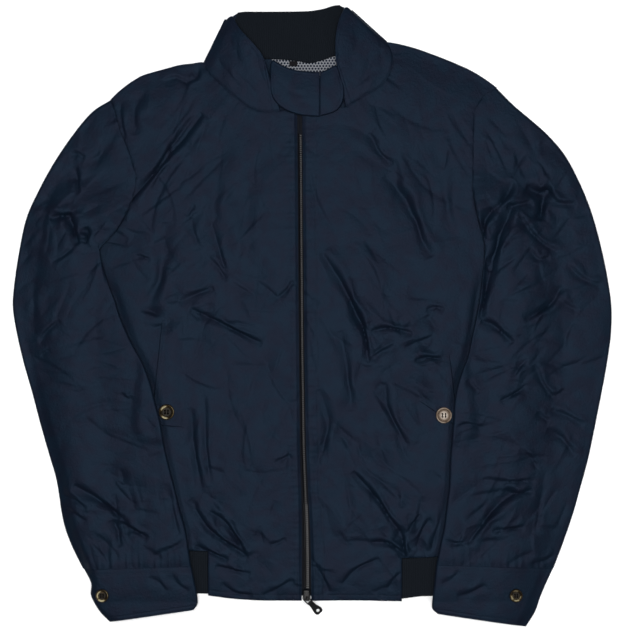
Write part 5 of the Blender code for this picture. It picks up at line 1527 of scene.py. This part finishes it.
def zip_pull(look):
    """The pull: a plate with a window round the bail and a round hole near its end. It is a grid
    round each opening: the outline's points joined to the opening's by straight rows, raised in
    the middle and rolled at both edges."""
    along, across, out = pull_axes()
    pieces = []
    ray = superellipse(96, 1.0)
    reach = np.linspace(0.0, 40.0, 801)[:, None]
    t = np.array([0.0, 0.04, 0.12, 0.24, 0.4, 0.6, 0.76, 0.88, 0.96, 1.0])[:, None]
    for part, start, stop, middle, opening, power in PULL_PARTS:
        u, v = middle + reach * ray[:, 0], reach * ray[:, 1]
        outside = (u < start) | (u > stop) | (np.abs(v) > np.interp(u, *np.transpose(PULL_PROFILE)))
        outer = reach[np.argmax(outside, axis=0)] * ray
        inner = superellipse(96, power) * opening
        plan = (middle, 0.0) + inner + (outer - inner) * t[..., None]
        edge = np.minimum(t, 1.0 - t) * np.linalg.norm(outer - inner, axis=1)
        half_wall = rounded_half(edge, PULL_WALL / 2.0 - 0.1)
        if part == "end":
            half_wall = half_wall - 0.16 * smoothstep(2.0 * np.minimum(edge, 1.3) / 1.3 - 1.0)
        flat = np.asarray(PULL_AXIS) + plan[..., :1] * along + plan[..., 1:] * across
        rise = half_wall[..., None] * out
        ring = np.concatenate([flat + rise, (flat - rise)[::-1]])
        number = np.arange(ring.shape[0] * ring.shape[1]).reshape(ring.shape[:2])
        faces = grid_faces(np.pad(number, (0, 1), mode="wrap")).tolist()
        pieces.append(finish_mesh(f"pull_plate_{part}", ring.reshape(-1, 3), faces, look, sharp=45.0))
    return pieces


# Stitching

STITCH_LENGTH = 2.5
STITCH_PITCH = 3.1
STITCH_THICK = 0.42


def stitch_line(path, height):
    """Places, directions and side directions of the stitches along a path, at a cloth's height."""
    count = max(int(travelled(path)[-1] / STITCH_PITCH), 2)
    points = resample(path, 2 * count + 1)
    points = lift(points, height(points[:, 0], points[:, 1]))
    along = unit(points[2::2] - points[:-2:2])
    return points[1:-1:2], along, unit(np.cross([0.0, 0.0, 1.0], along))


def inset_line(corners, offset):
    """A path a given distance to the left of another, with its corners mitred."""
    path = np.asarray(corners, float)
    left = leftward(np.diff(path, axis=0))
    joined = unit(np.vstack([left[:1], left[:-1] + left[1:], left[-1:]]))
    cosine = (joined * np.vstack([left[:1], left])).sum(axis=1, keepdims=True)
    return path + joined * offset / np.maximum(cosine, 0.4)


def cuff_height(side, x, y):
    """A cuff's upper face at any place: the distance from its nearer fold gives the edge."""
    rows = np.array(CUFF_SECTIONS[side], float)
    from_edge = np.minimum(nearest(rows[:, :2], x, y)[0], nearest(rows[:, 2:], x, y)[0])
    return cuff_face(side, x, y, from_edge)[1]


def all_stitches(look):
    """Stitches along the zip, the flaps, the hem band and both edges of the cuffs, in one mesh of
    rounded grains half sunk in the cloth's dents."""
    lines = []
    y = np.linspace(236.0, -337.0, 120)
    for side, toward in OUTWARD.items():
        paths = [(inset_line(smooth(HEM[side], 24), -toward * HEM_STITCH), front_face)]
        for row, inward in ((0, toward), (-1, -toward)):
            edge = resample(np.reshape(CUFF_SECTIONS[side][row], (2, 2)), 41)[1:-1]
            paths += [(inset_line(edge, inward * offset), cuff_height) for offset in CUFF_STITCHES]
        for offset in ZIP_STITCHES[side]:
            paths.append((np.stack([zip_x(y) + toward * (chain_gap(y) + offset), y], 1), front_face))
        for offset in FLAP_STITCHES:
            paths.append((inset_line(POCKET_FLAPS[side], -toward * offset), flap_height))
        lines += [stitch_line(path, partial(face, side)) for path, face in paths]
    places, along, across = (np.concatenate(parts) for parts in zip(*lines))
    return many("topstitching", bead(5, 6), places + [0.0, 0.0, 0.06], along, across,
                (STITCH_LENGTH, STITCH_THICK, STITCH_THICK), look)


# Scene

CAMERA_HEIGHT = 2.0967


def camera():
    """Straight above, at the photo's distance, with the photo's frame."""
    lens = bpy.data.cameras.new("photo view")
    lens.lens = 100.0
    lens.sensor_width = 36.0
    lens.clip_end = 20.0
    eye = bpy.data.objects.new("photo view", lens)
    eye.location = (2.4 * MM, 1.44 * MM, CAMERA_HEIGHT)
    bpy.context.scene.collection.objects.link(eye)
    bpy.context.scene.camera = eye


def area_light(name, place, size, power, reflected=True):
    """A soft box turned to the jacket's middle. One that isn't reflected only brightens, and puts
    no gloss on the cloth."""
    lamp = bpy.data.lights.new(name, "AREA")
    lamp.shape = "RECTANGLE"
    lamp.size, lamp.size_y = size
    lamp.energy = power
    made = bpy.data.objects.new(name, lamp)
    made.visible_glossy = reflected
    made.location = place
    x, y, z = place
    made.rotation_euler = (math.atan2(math.hypot(x, y), z), 0.0, math.atan2(-y, -x) - math.pi / 2.0)
    bpy.context.scene.collection.objects.link(made)


def surroundings():
    """A white floor, a large soft box overhead, two side lights that leave no gloss, and a dim
    world."""
    look = new_look("white floor", Base_Color=(0.93, 0.93, 0.93, 1.0), Roughness=0.9,
                    Specular_IOR_Level=0.1)[0]
    mesh = bpy.data.meshes.new("floor")
    corners = [(-6.0, -6.0, -0.0004), (6.0, -6.0, -0.0004), (6.0, 6.0, -0.0004), (-6.0, 6.0, -0.0004)]
    mesh.from_pydata(corners, [], [(0, 1, 2, 3)])
    mesh.materials.append(look)
    floor = bpy.data.objects.new("floor", mesh)
    bpy.context.scene.collection.objects.link(floor)
    floor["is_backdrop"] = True
    area_light("overhead", (0.04, -0.05, 3.2), (2.3, 2.3), 112.0)
    area_light("key", (-1.7, 1.7, 1.5), (1.0, 0.7), 32.0, reflected=False)
    area_light("fill", (1.8, -1.2, 1.6), (1.2, 1.2), 16.0, reflected=False)
    world = bpy.data.worlds.new("studio")
    world.use_nodes = True
    background = world.node_tree.nodes["Background"].inputs
    background["Color"].default_value = (0.95, 0.97, 1.0, 1.0)
    background["Strength"].default_value = 0.16
    bpy.context.scene.world = world
    bpy.context.scene.view_settings.view_transform = "Standard"
    bpy.context.scene.view_settings.look = "None"


CLOTHS = [
    # piece, node, slot, width and length of the cut in metres, area of the cut, what it lies on
    ("front_cloth_right", "front_right", "shell", 0.26, 0.65, 0.140, ["back_cloth"]),
    ("front_cloth_left", "front_left", "shell", 0.25, 0.67, 0.140, ["back_cloth"]),
    ("back_cloth", "back", "shell", 0.49, 0.62, 0.262, ["floor"]),
    ("sleeve_cloth_right", "sleeve_right", "shell", 0.40, 0.60, 0.170, ["front_cloth_right", "back_cloth"]),
    ("sleeve_cloth_left", "sleeve_left", "shell", 0.40, 0.60, 0.170, ["front_cloth_left", "back_cloth"]),
    ("cuff_cloth_right", "cuff_right", "shell", 0.28, 0.062, 0.0150, ["front_cloth_right"]),
    ("cuff_cloth_left", "cuff_left", "shell", 0.28, 0.062, 0.0150, ["front_cloth_left"]),
    ("collar_cloth", "collar", "shell", 0.50, 0.085, 0.0300, ["back_cloth"]),
    ("facing_knit", "collar_facing", "rib_knit", 0.21, 0.06, 0.0090, ["collar_cloth"]),
    ("rib_cloth", "hem_rib", "rib_knit", 0.64, 0.056, 0.0320, ["floor"]),
    ("mesh_cloth", "neck_lining", "mesh_lining", 0.09, 0.036, 0.0013, ["back_cloth"]),
    ("tab_cloth", "throat_tab", "shell", 0.062, 0.066, 0.0030, ["front_cloth_right"]),
    ("tab_end_cloth", "throat_tab_end", "shell", 0.030, 0.062, 0.0012, ["front_cloth_left"]),
    ("flap_cloth_right", "pocket_flap_right", "shell", 0.042, 0.142, 0.0050, ["front_cloth_right"]),
    ("flap_cloth_left", "pocket_flap_left", "shell", 0.052, 0.095, 0.0030, ["front_cloth_left"]),
    ("zip_weave_right", "zip_tape_right", "zip_tape", 0.011, 0.57, None, ["front_cloth_right"]),
    ("zip_weave_left", "zip_tape_left", "zip_tape", 0.011, 0.57, None, ["front_cloth_left"]),
]


def build():
    nylon = nylon_look()
    knit = knit_look("dark rib knit", (0.0030, 0.0042, 0.0060), (0.0080, 0.0102, 0.0138))
    mesh_lining = plain_look("grey mesh lining", (0.165, 0.172, 0.19), 0.75, grain=0.05, specular=0.1)
    tape = plain_look("navy zip tape", (0.0055, 0.0062, 0.0085), 0.85, grain=0.06, specular=0.05)
    label = plain_look("black label tape", (0.005, 0.005, 0.006), 0.7, grain=0.05, grain_scale=900.0,
                       specular=0.05)
    thread = plain_look("navy thread", (0.0060, 0.0090, 0.0165), 0.6, grain=0.03, grain_scale=900.0,
                        specular=0.1)
    # The upper chain's metal is a darker copy of the lower's: painted shade, for the closed zip lying in the
    # shadow of the fronts' edges
    shaded_zip_metal = plain_look("dull zip metal", (0.0178, 0.0176, 0.0178), 0.26, 1.0)
    zip_metal = plain_look("zip metal", (0.025, 0.0248, 0.025), 0.24, 1.0)
    gunmetal = plain_look("dark plated metal", (0.012, 0.0119, 0.012), 0.3, 1.0, grain=0.04,
                          grain_scale=500.0)
    pull_metal = plain_look("brushed plated metal", (0.032, 0.032, 0.033), 0.44, 1.0, grain=0.2,
                            grain_scale=600.0)
    button_thread = plain_look("button thread", (0.003, 0.003, 0.004), 0.9, grain=0.03, specular=0.02)
    # The palest colour of each horn is what its painted highlights take; on the pale button it is also the
    # horn's own cream middle
    dark_horn = horn_look("dark horn", (0.003, 0.0025, 0.002), (0.035, 0.022, 0.008), (0.36, 0.32, 0.20), 240.0)
    pale_horn = horn_look("pale horn", (0.008, 0.007, 0.008), (0.12, 0.085, 0.06), (0.40, 0.35, 0.30), 200.0)

    made = {}
    for side in OUTWARD:
        made[f"front_cloth_{side}"] = front(side, nylon)
        made[f"sleeve_cloth_{side}"] = sleeve(side, nylon)
        made[f"cuff_cloth_{side}"] = cuff(side, nylon)
        made[f"flap_cloth_{side}"] = pocket_flap(side, nylon)
        made[f"zip_weave_{side}"] = zip_tape(side, tape)
    made["back_cloth"] = back(nylon)
    made["rib_cloth"] = hem_rib(knit)
    made["collar_cloth"] = collar(nylon)
    made["facing_knit"] = collar_facing(knit)
    made["mesh_cloth"] = neck_lining(mesh_lining)
    made["label_tape"] = size_label(label)
    made["tab_cloth"] = throat_tab("tab_cloth", THROAT_TAB, 0.5, 14, nylon)
    made["tab_end_cloth"] = throat_tab("tab_end_cloth", THROAT_TAB_END, 0.0, 7, nylon)
    surroundings()
    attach(made["label_tape"], "garment")
    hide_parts("size_label")
    for name, node, slot, width, length, area, below in CLOTHS:
        piece = made[name]
        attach(piece, "garment")
        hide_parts(node)

    for name, (x, y, radius, thickness) in BUTTONS.items():
        pale = name == "button_pocket_left"
        disc, bars = button(name, x, y, radius, thickness, pale_horn if pale else dark_horn, button_thread)
        for piece in [disc] + bars:
            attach(piece, "garment")
        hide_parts(name)
    # The upper chain takes the metal with painted shade, the lower one the plain metal
    for name, top, bottom, metal in (("zip_teeth", CHAIN_TOP, CHAIN_OPENS, shaded_zip_metal),
                                     ("zip_teeth_low", CHAIN_OPENS, CHAIN_BOTTOM, zip_metal)):
        teeth = zip_chain(name, top, bottom, CHAIN_HALF[name], TOOTH_LEAN[name], metal)
        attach(teeth, "garment")
        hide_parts("zip_chain")
    slider = zip_slider(gunmetal)
    for piece in slider:
        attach(piece, "garment")
    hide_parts("zip_slider")
    pull = zip_pull(pull_metal)
    for piece in pull:
        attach(piece, "pull")
    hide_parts("zip_pull")
    sewn = all_stitches(thread)
    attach(sewn, "garment")


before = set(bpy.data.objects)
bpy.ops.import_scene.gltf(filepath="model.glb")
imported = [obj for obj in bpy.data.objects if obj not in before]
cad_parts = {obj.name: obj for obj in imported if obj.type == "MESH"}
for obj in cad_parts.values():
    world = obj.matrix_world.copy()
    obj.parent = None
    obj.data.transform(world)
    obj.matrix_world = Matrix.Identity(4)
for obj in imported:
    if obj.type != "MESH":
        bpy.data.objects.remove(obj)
CAD_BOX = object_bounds()
build()
camera()


def plain(value):
    return [plain(v) for v in value] if hasattr(value, "__len__") else float(value)


{"cad": plain(CAD_BOX), "visual": plain(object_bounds())}
